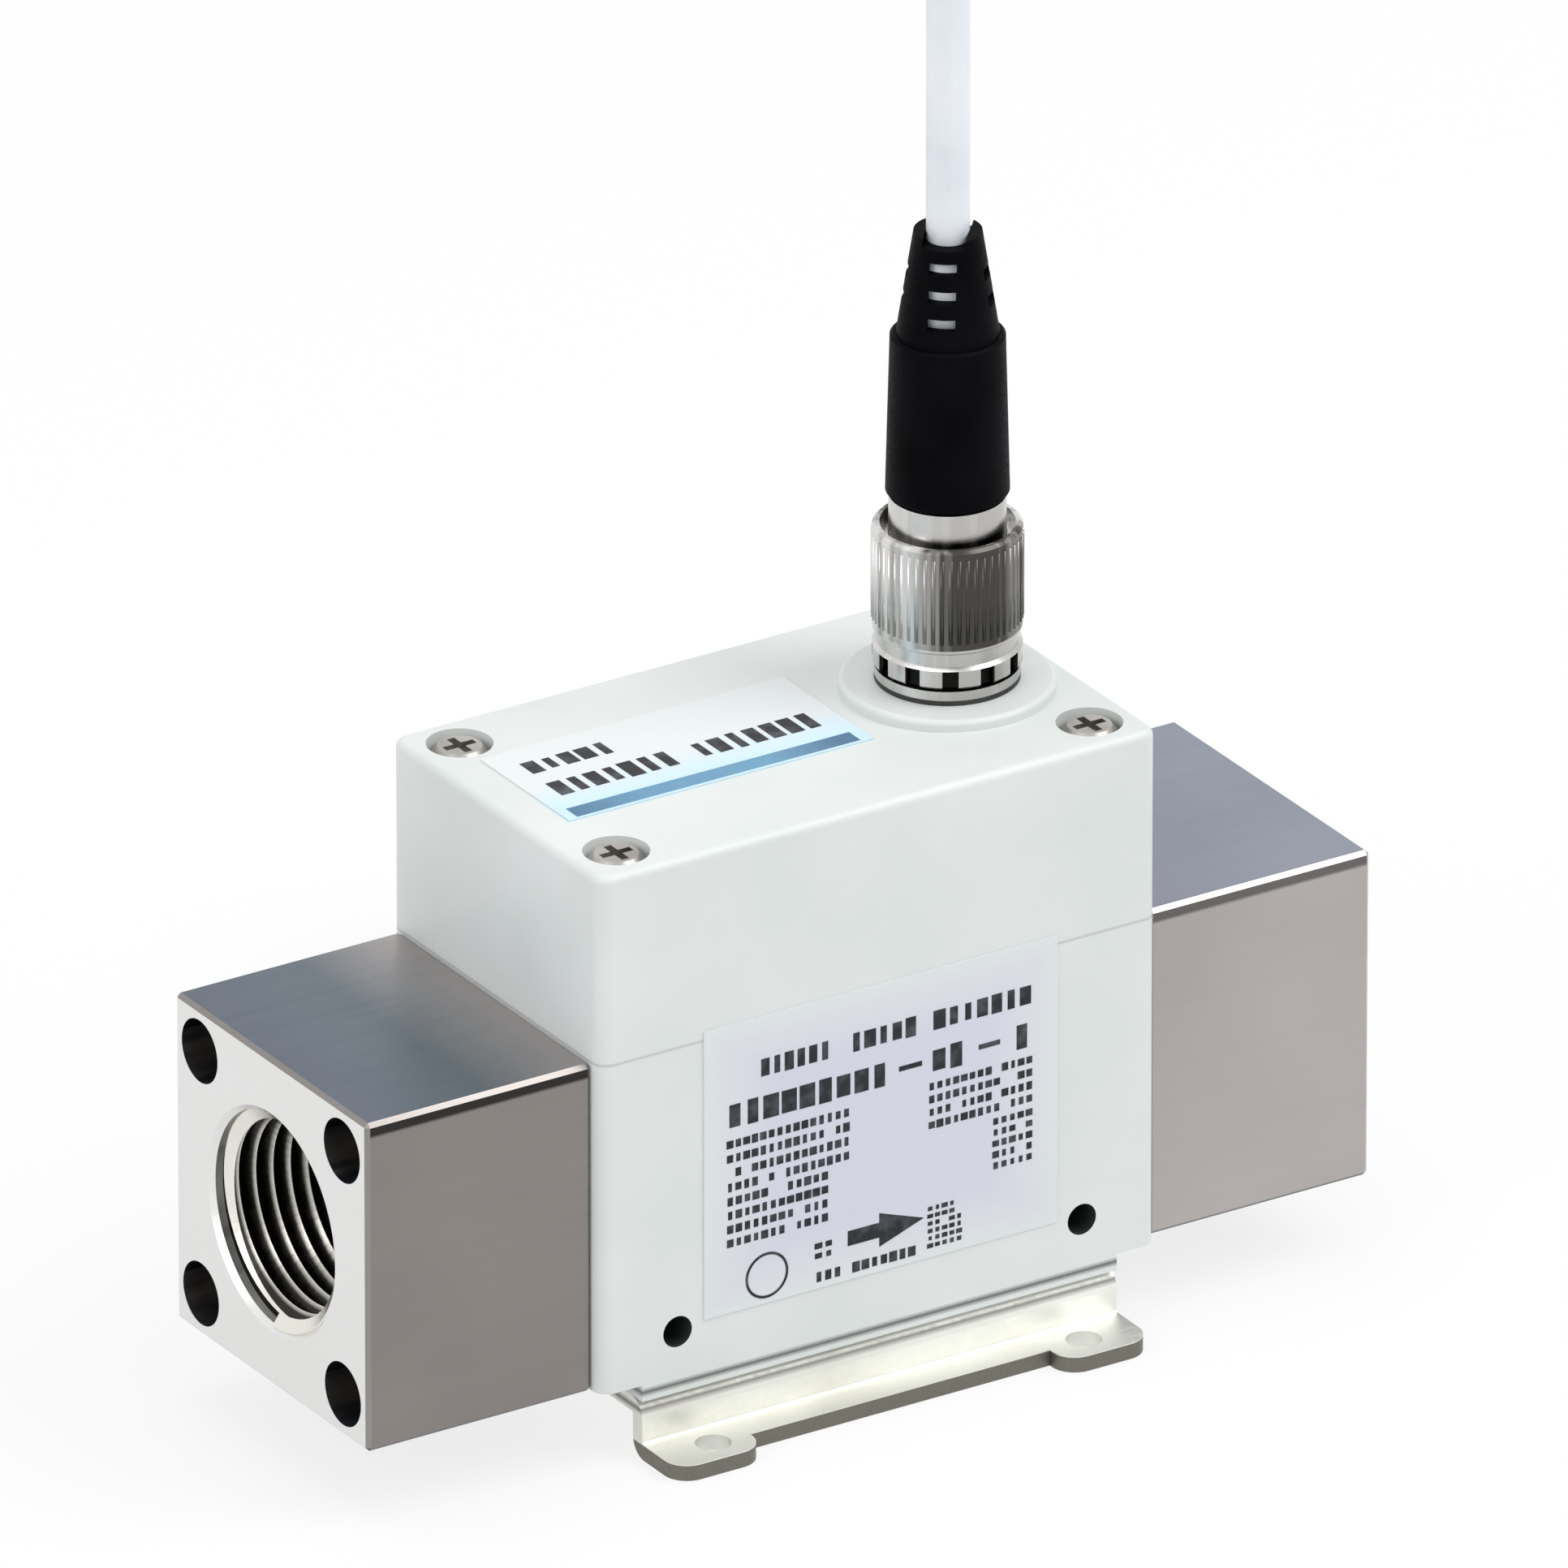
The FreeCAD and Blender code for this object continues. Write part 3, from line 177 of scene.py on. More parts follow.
def addFloor(settings):
    half, level = settings["floorSide"] / 2, settings["floorLevel"]
    mesh = bpy.data.meshes.new("floor")
    corners = [(-half, -half, level), (half, -half, level), (half, half, level), (-half, half, level)]
    mesh.from_pydata(corners, [], [(0, 1, 2, 3)])
    floor = bpy.data.objects.new("floor", mesh)
    bpy.context.scene.collection.objects.link(floor)
    material = bpy.data.materials.new("studioFloor")
    material.use_nodes = True
    tree = material.node_tree
    tree.nodes.clear()
    paper = addNode(tree, "ShaderNodeBsdfDiffuse", {"Color": settings["floorColor"]})
    glow = addNode(tree, "ShaderNodeEmission", {"Color": settings["white"]})
    share = addMath(tree, "MULTIPLY", seenDirectly(tree), settings["floorGlow"])
    endSurface(tree, "ShaderNodeOutputMaterial", share, paper, glow)
    mesh.materials.append(material)


def addRoom(settings):
    world = bpy.data.worlds.new("studioRoom")
    world.use_nodes = True
    tree = world.node_tree
    tree.nodes.clear()
    light = addNode(tree, "ShaderNodeBackground", {
        "Color": settings["roomTint"], "Strength": settings["roomLight"],
    })
    white = addNode(tree, "ShaderNodeBackground", {"Color": settings["white"]})
    endSurface(tree, "ShaderNodeOutputWorld", seenDirectly(tree), light, white)
    bpy.context.scene.world = world


bpy.context.scene.view_settings.view_transform = "Standard"
addCamera(cameraView)
addFloor(studio)
addRoom(studio)
for lampName, lampFacts in lamps.items():
    addLamp(lampName, *lampFacts)
print("camera, floor and light are in place")


# Finishes

# in a look, grain is the scale and detail of a noise, and for some its stretch, spread is
# the roughness from and to, and bump is a strength and a depth
noiseMiddle = (0.3, 0.7)  # most of a noise lies between these


def newFinish(name, look, color):
    material = bpy.data.materials.new(name)
    material.use_nodes = True
    shader = material.node_tree.nodes["Principled BSDF"]
    shader.inputs["Base Color"].default_value = (*color, 1)
    shader.inputs["Roughness"].default_value = look["roughness"]
    if "metallic" in look:
        shader.inputs["Metallic"].default_value = look["metallic"]
    if "specular" in look:
        shader.inputs["Specular IOR Level"].default_value = look["specular"]
    return material, material.node_tree, shader


def paint(tree, shader, color):
    tree.links.new(color, shader.inputs["Base Color"])


# noise on the object's own coordinates, drawn out by a stretch along each axis
def addNoise(tree, scale, detail=3.0, stretch=(1, 1, 1)):
    place = addNode(tree, "ShaderNodeTexCoord")
    mapping = addNode(tree, "ShaderNodeMapping", {"Vector": place.outputs["Object"], "Scale": stretch})
    noise = addNode(tree, "ShaderNodeTexNoise", {
        "Vector": mapping.outputs["Vector"], "Scale": scale, "Detail": detail,
    })
    return noise.outputs["Fac"]


# a ramp with any number of stops, each a position and a color
def addStops(tree, driver, *stops):
    ramp = addNode(tree, "ShaderNodeValToRGB", {"Fac": driver})
    elements = ramp.color_ramp.elements
    while len(elements) < len(stops):
        elements.new(0.5)
    for element, (position, color) in zip(elements, stops):
        element.position = position
        element.color = (*color, 1)
    return ramp.outputs["Color"]


# a ramp between two colors, from where it starts to where it ends
def addRamp(tree, driver, low, high, span=noiseMiddle):
    return addStops(tree, driver, (span[0], low), (span[1], high))


def spreadRoughness(tree, shader, driver, spread):
    mapped = addNode(tree, "ShaderNodeMapRange", {
        "Value": driver, "From Min": noiseMiddle[0], "From Max": noiseMiddle[1],
        "To Min": spread[0], "To Max": spread[1],
    })
    tree.links.new(mapped.outputs["Result"], shader.inputs["Roughness"])


def addBump(tree, shader, height, bump):
    strength, depth = bump
    node = addNode(tree, "ShaderNodeBump", {"Strength": strength, "Distance": depth, "Height": height})
    tree.links.new(node.outputs["Normal"], shader.inputs["Normal"])


# the look's grain, in the roughness and, where the look has a bump, in the surface
def addGrain(tree, shader, look):
    grain = addNoise(tree, *look["grain"])
    spreadRoughness(tree, shader, grain, look["spread"])
    if "bump" in look:
        addBump(tree, shader, grain, look["bump"])
    return grain


# X, Y or Z of the object's own place, or of the direction that its surface faces
def objectAxis(tree, axis, output="Object"):
    place = addNode(tree, "ShaderNodeTexCoord")
    apart = addNode(tree, "ShaderNodeSeparateXYZ", {"Vector": place.outputs[output]})
    return apart.outputs[axis]


# 1 on faces that look along an axis, 0 on faces that lean far from it
def facing(tree, axis, sharpness):
    return addMath(tree, "POWER", addMath(tree, "ABSOLUTE", objectAxis(tree, axis, "Normal")), sharpness)


def distanceTo(tree, place, level):
    return addMath(tree, "ABSOLUTE", addMath(tree, "SUBTRACT", place, level))


# 0 away from a level and 1 on it, over a thin line
def lineAt(tree, axis, level, width):
    share = addMath(tree, "DIVIDE", distanceTo(tree, objectAxis(tree, axis), level), width)
    return addMath(tree, "SUBTRACT", 1.0, addMath(tree, "MINIMUM", share, 1.0))


# distance from a line that runs along the third axis through these places on the two others
def axisDistance(tree, axes, places, mirrored=False):
    squares = []
    for axis, place in zip(axes, places):
        along = objectAxis(tree, axis)
        if mirrored:
            along = addMath(tree, "ABSOLUTE", along)
        squares.append(addMath(tree, "POWER", distanceTo(tree, along, place), 2.0))
    return addMath(tree, "SQRT", addMath(tree, "ADD", *squares))


housingLook = {
    "roughness": 0.42,
    "specular": 0.45,
    "dull": (0.65, 0.685, 0.66),
    "clean": (0.718, 0.745, 0.732),
    "cloud": 55,
    "grain": (3500, 2.0),
    "spread": (0.38, 0.48),
    "bump": (0.25, 0.06 * mm),
    "grainHeight": 0.1,  # of the grain in the bump, where the parting line is 1 deep
    "partingLine": (0.49, 0.51, 0.50),
    "partingLevel": 40.6 * mm,
    "partingWidth": 0.22 * mm,
    # painted shade: a dark line round the foot, for the gap over the bracket
    "footShadeLine": (0.12, 0.12, 0.112),
    "footLevel": 6.75 * mm,
    "footWidth": 0.5 * mm,
    # painted shade in the deep front holes
    "holeShade": (0.035, 0.038, 0.038),
    "holePlace": (21.8 * mm, 12.0 * mm),
    "holeRadius": 1.54 * mm,
}


# white moulded resin: faint clouds, a fine grain, the line where the mould parts,
# a line of painted shade for the gap over the bracket, and painted shade in the deep front holes
def housingResin(look):
    material, tree, shader = newFinish("housingResin", look, look["clean"])
    clouds = addRamp(tree, addNoise(tree, look["cloud"]), look["dull"], look["clean"])
    line = lineAt(tree, "Z", look["partingLevel"], look["partingWidth"])
    color = addMix(tree, line, clouds, look["partingLine"])
    # painted shade in a line round the foot, over the bracket
    color = addMix(tree, lineAt(tree, "Z", look["footLevel"], look["footWidth"]), color, look["footShadeLine"])
    # painted shade in the deep front holes, on the front only
    away = axisDistance(tree, ("X", "Z"), look["holePlace"], mirrored=True)
    inHole = addMath(tree, "LESS_THAN", away, look["holeRadius"])
    inFront = addMath(tree, "LESS_THAN", objectAxis(tree, "Y"), 0.0)
    inHole = addMath(tree, "MULTIPLY", inHole, inFront)
    paint(tree, shader, addMix(tree, inHole, color, look["holeShade"]))
    grain = addNoise(tree, *look["grain"])
    spreadRoughness(tree, shader, grain, look["spread"])
    height = addMath(tree, "SUBTRACT", addMath(tree, "MULTIPLY", grain, look["grainHeight"]), line)
    addBump(tree, shader, height, look["bump"])
    return material


# places along the blocks run from 0 at the inlet's end face to 1 at the outlet's
blockLook = {
    "roughness": 0.34,
    "metallic": 1.0,
    # painted light: the sides darker at the inlet and lighter towards the outlet
    "side": (
        (0, (0.272, 0.25, 0.236)), (0.22, (0.29, 0.265, 0.252)),
        (0.78, (0.45, 0.42, 0.405)), (1, (0.465, 0.437, 0.42)),
    ),
    # painted reflection on the tops: blue-grey, dark over the inlet and brightest a little past it
    "top": (
        (0, (0.14, 0.165, 0.208)), (0.12, (0.15, 0.182, 0.213)), (0.22, (0.45, 0.41, 0.405)),
        (0.78, (0.285, 0.295, 0.365)), (1, (0.30, 0.33, 0.395)),
    ),
    "facingPower": 8.0,
    "tone": 0.9,  # darkest of the broad tones, as a share of the lightest
    "toneNoise": (38, 2.0),
    "toneSpan": (0.35, 0.7),
    # end faces lighter than the sides, partly for their machined finish and partly as painted light
    "end": (0.78, 0.78, 0.77),
    # painted shade inside the bore, past its mouth
    "bore": (0.055, 0.052, 0.046),
    "boreRadius": 10.52 * mm,
    "mouthRadius": 12.1 * mm,
    "mouthDepth": 1.3 * mm,
    # painted shade in a line under the long top edges, darker at the inlet
    "edgeShade": ((0.22, (0.02, 0.018, 0.017)), (0.78, (0.13, 0.122, 0.12))),
    "edgeLevel": 39.7 * mm,
    "edgeWidth": 0.7 * mm,
    "edgeGain": 2.0,
    "edgeMost": 0.92,
    # painted shade on the back edge
    "backEdgeShade": (0.10, 0.10, 0.11),
    "backLean": 0.3,
    "grain": (900, 4.0, (0.03, 1, 1)),
    "spread": (0.28, 0.42),
    "bump": (0.18, 0.02 * mm),
}


# the drawn faces of the blocks, without their ends: painted light that makes the sides lighter towards the
# outlet, a painted reflection on the tops, painted shade under the long top edges and on the back edge, and
# broad tones over all of it
def blockFlank(tree, look):
    along = addMath(tree, "DIVIDE", addMath(tree, "ADD", objectAxis(tree, "X"), endFace), 2 * endFace)
    # painted shade in a line under the long top edges, on the sides only
    line = lineAt(tree, "Z", look["edgeLevel"], look["edgeWidth"])
    edge = addMath(tree, "MINIMUM", addMath(tree, "MULTIPLY", line, look["edgeGain"]), look["edgeMost"])
    edge = addMath(tree, "MULTIPLY", edge, facing(tree, "Y", look["facingPower"]))
    side = addMix(tree, edge, addStops(tree, along, *look["side"]), addStops(tree, along, *look["edgeShade"]))
    # painted shade on the back edge, where the face leans up and back
    leaning = addMath(tree, "MULTIPLY", objectAxis(tree, "Y", "Normal"), objectAxis(tree, "Z", "Normal"))
    side = addMix(tree, addMath(tree, "GREATER_THAN", leaning, look["backLean"]), side, look["backEdgeShade"])
    # the tops' painted reflection
    top = addStops(tree, along, *look["top"])
    flank = addMix(tree, facing(tree, "Z", look["facingPower"]), side, top)
    lightest = (1, 1, 1)
    darkest = (look["tone"],) * len(lightest)
    tones = addRamp(tree, addNoise(tree, *look["toneNoise"]), darkest, lightest, look["toneSpan"])
    return addMix(tree, 1.0, flank, tones, "MULTIPLY")


# machined end faces, lighter than the sides partly for their finish and partly as painted light, drawn sides
# with fine lines along the block, and painted shade in the bore behind a bright mouth
def blockMetal(look):
    material, tree, shader = newFinish("blockMetal", look, look["end"])
    # end faces lighter than the sides, partly machined finish and partly painted light
    color = addMix(tree, facing(tree, "X", look["facingPower"]), blockFlank(tree, look), look["end"])
    away = axisDistance(tree, ("Y", "Z"), (0.0, portHeight))
    color = addMix(tree, addMath(tree, "LESS_THAN", away, look["mouthRadius"]), color, look["end"])
    # painted shade inside the bore, past its mouth
    inBore = addMath(tree, "LESS_THAN", away, look["boreRadius"])
    fromMiddle = addMath(tree, "ABSOLUTE", objectAxis(tree, "X"))
    deep = addMath(tree, "LESS_THAN", fromMiddle, endFace - look["mouthDepth"])
    inBore = addMath(tree, "MULTIPLY", inBore, deep)
    paint(tree, shader, addMix(tree, inBore, color, look["bore"]))
    addGrain(tree, shader, look)
    return material


nickelLook = {
    "roughness": 0.22,
    "metallic": 1.0,
    # painted reflection: the streaks run from this dark to the bright below
    "dark": (0.07, 0.066, 0.06),
    "bright": (0.72, 0.71, 0.69),
    "reflectionSpan": (0.38, 0.73),
    # painted reflection: two broad bands round the axis, turned by the phase and as deep as below
    "reflectionBands": 2.0,
    "reflectionPhase": 1.65,  # turns the broad bands round the axis, in radians
    "reflectionDepth": 0.18,
    "turned": (0.66, 0.65, 0.63),  # mixed into the smooth ring and collar below and above the sleeve
    "turnedShare": 0.7,
    "sleeveMiddle": 71.2 * mm,
    "sleeveHalf": 5.05 * mm,
    # painted shade, black, in the ring's notches
    "notch": (0.012, 0.011, 0.010),
    "notchRadius": 6.5 * mm,
    "notchTop": 64.1 * mm,
    "grain": (520, 2.0, (1, 1, 0.02)),
    "spread": (0.2, 0.34),
    "bump": (0.1, 0.02 * mm),
}


# nickel with painted reflections: dark and bright streaks that run up and down, in two broad bands round the
# axis, and painted shade, black, in the ring's notches
def nickelPlate(look):
    material, tree, shader = newFinish("nickelPlate", look, look["bright"])
    grainAndReflection = addGrain(tree, shader, look)
    across = addMath(tree, "SUBTRACT", objectAxis(tree, "X"), connector[0])
    angle = addMath(tree, "ARCTAN2", objectAxis(tree, "Y"), across)
    # two broad bands of painted reflection round the axis
    band = addMath(tree, "ADD", addMath(tree, "MULTIPLY", angle, look["reflectionBands"]), look["reflectionPhase"])
    band = addMath(tree, "MULTIPLY", addMath(tree, "SINE", band), look["reflectionDepth"])
    grainAndReflection = addMath(tree, "ADD", grainAndReflection, band)
    # painted reflection streaks, dark to bright
    color = addRamp(tree, grainAndReflection, look["dark"], look["bright"], look["reflectionSpan"])
    height = objectAxis(tree, "Z")
    away = distanceTo(tree, height, look["sleeveMiddle"])
    offSleeve = addMath(tree, "GREATER_THAN", away, look["sleeveHalf"])
    color = addMix(tree, addMath(tree, "MULTIPLY", offSleeve, look["turnedShare"]), color, look["turned"])
    # painted shade in the ring's notches
    inside = addMath(tree, "LESS_THAN", axisDistance(tree, ("X", "Y"), connector), look["notchRadius"])
    below = addMath(tree, "LESS_THAN", height, look["notchTop"])
    inNotch = addMath(tree, "MULTIPLY", inside, below)
    paint(tree, shader, addMix(tree, inNotch, color, look["notch"]))
    return material


plugLook = {
    "roughness": 0.5,
    "specular": 0.03,
    "dark": (0.0008, 0.0008, 0.0012),
    "worn": (0.0032, 0.0032, 0.0048),
    "cloud": 160,
    "grain": (2600, 3.0),
    "spread": (0.42, 0.58),
    "bump": (0.3, 0.05 * mm),
}


# black moulded plug with a fine pebbled skin
def plugBlack(look):
    material, tree, shader = newFinish("plugBlack", look, look["dark"])
    paint(tree, shader, addRamp(tree, addNoise(tree, look["cloud"]), look["dark"], look["worn"]))
    addGrain(tree, shader, look)
    return material


bracketLook = {
    "roughness": 0.48,
    "metallic": 1.0,
    "dull": (0.70, 0.70, 0.65),
    "clean": (0.84, 0.845, 0.80),
    "cloud": 60,
    # painted shade on the low upright edges, where the sheet is sheared off
    "shearedEdgeShade": (0.19, 0.182, 0.155),
    "sheetTop": 1.5 * mm,
    "uprightMost": 0.3,
    "bendShade": (0.20, 0.195, 0.18),
    "bendLevel": 4.9 * mm,
    "bendWidth": 0.5 * mm,
    "tabHole": (20.0 * mm, 21.2 * mm),
    "tabHoleRadius": 1.76 * mm,
    "grain": (1800, 3.0),
    "spread": (0.42, 0.56),
    "bump": (0.15, 0.02 * mm),
}


# pale plated sheet with painted shade on its low upright edges, where it is sheared off, and a line of
# painted shade under its upper bend
def bracketMetal(look):
    material, tree, shader = newFinish("bracketMetal", look, look["clean"])
    clouds = addRamp(tree, addNoise(tree, look["cloud"]), look["dull"], look["clean"])
    # painted shade in a line under the upper bend
    bend = lineAt(tree, "Z", look["bendLevel"], look["bendWidth"])
    color = addMix(tree, bend, clouds, look["bendShade"])
    level = addMath(tree, "ABSOLUTE", objectAxis(tree, "Z", "Normal"))
    upright = addMath(tree, "LESS_THAN", level, look["uprightMost"])
    low = addMath(tree, "LESS_THAN", objectAxis(tree, "Z"), look["sheetTop"])
    fromHole = axisDistance(tree, ("X", "Y"), look["tabHole"], mirrored=True)
    outside = addMath(tree, "GREATER_THAN", fromHole, look["tabHoleRadius"])
    # painted shade on the low upright edges, away from the tab holes
    shearedEdgeShade = addMath(tree, "MULTIPLY", addMath(tree, "MULTIPLY", upright, low), outside)
    paint(tree, shader, addMix(tree, shearedEdgeShade, color, look["shearedEdgeShade"]))
    addGrain(tree, shader, look)
    return material


sheathLook = {
    "roughness": 0.4,
    "shade": (0.70, 0.73, 0.775),
    "light": (0.79, 0.815, 0.85),
    "cloud": 120,
    "grain": (2200, 2.0),
    "spread": (0.36, 0.5),
    "bump": (0.15, 0.04 * mm),
}


# pale grey cable sheath with a soft sheen
def cableSheath(look):
    material, tree, shader = newFinish("cableSheath", look, look["light"])
    paint(tree, shader, addRamp(tree, addNoise(tree, look["cloud"]), look["shade"], look["light"]))
    addGrain(tree, shader, look)
    return material


boardLook = {
    "roughness": 0.3,
    "mask": (0.02, 0.17, 0.08),
    "track": (0.05, 0.30, 0.14),
    "trackScale": 260,
    "bump": (0.2, 0.02 * mm),
}


# green circuit board with lighter tracks
def boardGreen(look):
    material, tree, shader = newFinish("boardGreen", look, look["mask"])
    place = addNode(tree, "ShaderNodeTexCoord")
    tracks = addNode(tree, "ShaderNodeTexBrick", {
        "Vector": place.outputs["Object"], "Scale": look["trackScale"],
        "Color1": look["mask"], "Color2": look["mask"], "Mortar": look["track"],
    })
    paint(tree, shader, tracks.outputs["Color"])
    addBump(tree, shader, tracks.outputs["Fac"], look["bump"])
    return material


frontLook = {
    "roughness": 0.35,
    "field": (0.61, 0.615, 0.70),
    "edge": (0.685, 0.715, 0.72),
    "middle": 27 * mm,
    "reach": 17 * mm,
    "acrossShare": 0.75,  # of a distance across the label, against one up or down
    "fadeSpan": (0.5, 0.85),
    "grain": (900, 2.0),
    "spread": (0.3, 0.42),
}


# front label: a pale lavender field that fades towards its edge
def frontPrint(look):
    material, tree, shader = newFinish("frontPrint", look, look["field"])
    height = distanceTo(tree, objectAxis(tree, "Z"), look["middle"])
    across = addMath(tree, "ABSOLUTE", objectAxis(tree, "X"))
    farther = addMath(tree, "MAXIMUM", height, addMath(tree, "MULTIPLY", across, look["acrossShare"]))
    share = addMath(tree, "DIVIDE", farther, look["reach"])
    paint(tree, shader, addRamp(tree, share, look["field"], look["edge"], look["fadeSpan"]))
    addGrain(tree, shader, look)
    return material


topLook = {
    "roughness": 0.33,
    "tint": (0.55, 0.76, 0.88),
    "plain": (0.728, 0.757, 0.752),
    "band": (
        (0, (0.04, 0.15, 0.27)), (0.25, (0.10, 0.27, 0.43)),
        (0.7, (0.11, 0.29, 0.45)), (0.95, (0.04, 0.13, 0.24)),
    ),
    "middle": -4.8 * mm,
    "half": 1.0 * mm,
    "fade": 6.5 * mm,
    "fadeSpan": (0.1, 0.95),
    "start": -24.8 * mm,
    "end": 5.6 * mm,
    "grain": (900, 2.0),
    "spread": (0.28, 0.4),
}


# top label: a blue band, and a pale blue tint that fades away from it
def topPrint(look):
    material, tree, shader = newFinish("topPrint", look, look["plain"])
    away = distanceTo(tree, objectAxis(tree, "Y"), look["middle"])
    faded = addMath(tree, "DIVIDE", away, look["fade"])
    tinted = addRamp(tree, faded, look["tint"], look["plain"], look["fadeSpan"])
    along = addMath(tree, "SUBTRACT", objectAxis(tree, "X"), look["start"])
    share = addMath(tree, "DIVIDE", along, look["end"] - look["start"])
    within = addMath(tree, "LESS_THAN", away, look["half"])
    inside = addMath(tree, "LESS_THAN", distanceTo(tree, share, 0.5), 0.5)
    onBand = addMath(tree, "MULTIPLY", within, inside)
    paint(tree, shader, addMix(tree, onBand, tinted, addStops(tree, share, *look["band"])))
    addGrain(tree, shader, look)
    return material


inkLook = {
    "roughness": 0.5,
    "specular": 0.25,
    "dark": (0.016, 0.017, 0.021),
    "faded": (0.075, 0.078, 0.092),
    "cloud": (600, 2.0),
    "fadeSpan": (0.45, 0.75),
}


# black print, a little faded in places
def printInk(look):
    material, tree, shader = newFinish("printInk", look, look["dark"])
    noise = addNoise(tree, *look["cloud"])
    paint(tree, shader, addRamp(tree, noise, look["dark"], look["faded"], look["fadeSpan"]))
    return material


# two tones, roughness from and to, metallic, size of the grain, depth of the grain in mm
plainLooks = {
    "screw_steel": ((0.36, 0.34, 0.32), (0.52, 0.50, 0.47), 0.3, 0.42, 1.0, 1400, 0.02),
    "insert_brass": ((0.55, 0.38, 0.16), (0.74, 0.55, 0.26), 0.28, 0.4, 1.0, 900, 0.02),
    "seal_rubber": ((0.018, 0.018, 0.018), (0.035, 0.035, 0.035), 0.6, 0.75, 0.0, 1500, 0.03),
    "inner_resin": ((0.07, 0.07, 0.08), (0.12, 0.12, 0.13), 0.42, 0.55, 0.0, 1200, 0.03),
    "sensor_resin": ((0.56, 0.54, 0.46), (0.68, 0.66, 0.58), 0.42, 0.55, 0.0, 700, 0.03),
    "gold_contact": ((0.78, 0.56, 0.22), (0.92, 0.72, 0.36), 0.16, 0.26, 1.0, 900, 0.01),
    "core_brown": ((0.16, 0.07, 0.03), (0.24, 0.11, 0.05), 0.36, 0.48, 0.0, 900, 0.02),
    "core_white": ((0.72, 0.72, 0.70), (0.84, 0.84, 0.82), 0.36, 0.48, 0.0, 900, 0.02),
    "core_blue": ((0.03, 0.11, 0.38), (0.05, 0.17, 0.52), 0.36, 0.48, 0.0, 900, 0.02),
    "core_black": ((0.012, 0.012, 0.012), (0.03, 0.03, 0.03), 0.36, 0.48, 0.0, 900, 0.02),
    "tinned_copper": ((0.58, 0.50, 0.42), (0.80, 0.74, 0.66), 0.26, 0.4, 1.0, 1800, 0.03),
}

# what they share; the size of the clouds is counted in grains
plainGrain = {"detail": 3.0, "cloudSize": 6, "cloudDetail": 2.0, "bumpStrength": 0.2}


def plainFinish(name, low, high, smooth, rough, metallic, grain, depth):
    look = {
        "roughness": rough,
        "metallic": metallic,
        "grain": (grain, plainGrain["detail"]),
        "spread": (smooth, rough),
        "bump": (plainGrain["bumpStrength"], depth * mm),
    }
    material, tree, shader = newFinish(name, look, high)
    clouds = addNoise(tree, grain / plainGrain["cloudSize"], plainGrain["cloudDetail"])
    paint(tree, shader, addRamp(tree, clouds, low, high))
    addGrain(tree, shader, look)
    return material


finishes = {slot: plainFinish(slot, *look) for slot, look in plainLooks.items()}
finishes["housing_resin"] = housingResin(housingLook)
finishes["block_metal"] = blockMetal(blockLook)
finishes["bracket_metal"] = bracketMetal(bracketLook)
finishes["nickel"] = nickelPlate(nickelLook)
finishes["plug_black"] = plugBlack(plugLook)
finishes["cable_sheath"] = cableSheath(sheathLook)
finishes["board"] = boardGreen(boardLook)
finishes["front_print"] = frontPrint(frontLook)
finishes["top_print"] = topPrint(topLook)
ink = printInk(inkLook)

for part in frame["record"]["subparts"]:
    mesh = frame["nodes"][part["node"]].data
    mesh.materials.clear()
    mesh.materials.append(finishes[part["material_slot"]])
print("the model's own nodes have their finishes")


# Geometry node trees and the pieces made from them


# a tree with named inputs; it answers the tree, its input sockets and their identifiers
def startTree(name, defaults):
    tree = bpy.data.node_groups.new(name, "GeometryNodeTree")
    identifiers = {}
    for label, default in defaults.items():
        kind = "NodeSocketInt" if isinstance(default, int) else "NodeSocketFloat"
        socket = tree.interface.new_socket(name=label, in_out="INPUT", socket_type=kind)
        socket.default_value = default
        identifiers[label] = socket.identifier
    tree.interface.new_socket(name="Geometry", in_out="OUTPUT", socket_type="NodeSocketGeometry")
    return tree, addNode(tree, "NodeGroupInput").outputs, identifiers


def endTree(tree, geometry, material, smooth):
    real = addNode(tree, "GeometryNodeRealizeInstances", {"Geometry": geometry})
    shaded = addNode(tree, "GeometryNodeSetShadeSmooth", {
        "Geometry": real.outputs[0], "Shade Smooth": smooth,
    })
    painted = addNode(tree, "GeometryNodeSetMaterial", {"Geometry": shaded.outputs[0], "Material": material})
    output = addNode(tree, "NodeGroupOutput")
    tree.links.new(painted.outputs[0], output.inputs[0])


def newPiece(name, data):
    piece = bpy.data.objects.new(name, data)
    bpy.context.scene.collection.objects.link(piece)
    return piece


# every piece rides on the part's one body
def ridePiece(piece):
    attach(piece, "root")
    return piece


# a plain mesh of what a tree makes with these values, moved to its place
def growPiece(name, tree, identifiers, values, place):
    piece = newPiece(name, bpy.data.meshes.new(name))
    modifier = piece.modifiers.new(name, "NODES")
    modifier.node_group = tree
    for label, chosen in values.items():
        modifier[identifiers[label]] = chosen
    bpy.context.view_layer.update()
    shown = piece.evaluated_get(bpy.context.evaluated_depsgraph_get())
    mesh = bpy.data.meshes.new_from_object(shown)
    piece.modifiers.clear()
    mesh.transform(place)
    piece.data = mesh
    mesh.name = name
    ridePiece(piece)


# a mesh piece with its faces turned outwards
def addSolidPiece(name, points, faces, material, smooth=False):
    mesh = bpy.data.meshes.new(name)
    mesh.from_pydata(points, [], faces)
    shell = bmesh.new()
    shell.from_mesh(mesh)
    bmesh.ops.recalc_face_normals(shell, faces=shell.faces)
    shell.to_mesh(mesh)
    shell.free()
    mesh.materials.append(material)
    for face in mesh.polygons:
        face.use_smooth = smooth and len(face.vertices) == 4
    return ridePiece(newPiece(name, mesh))


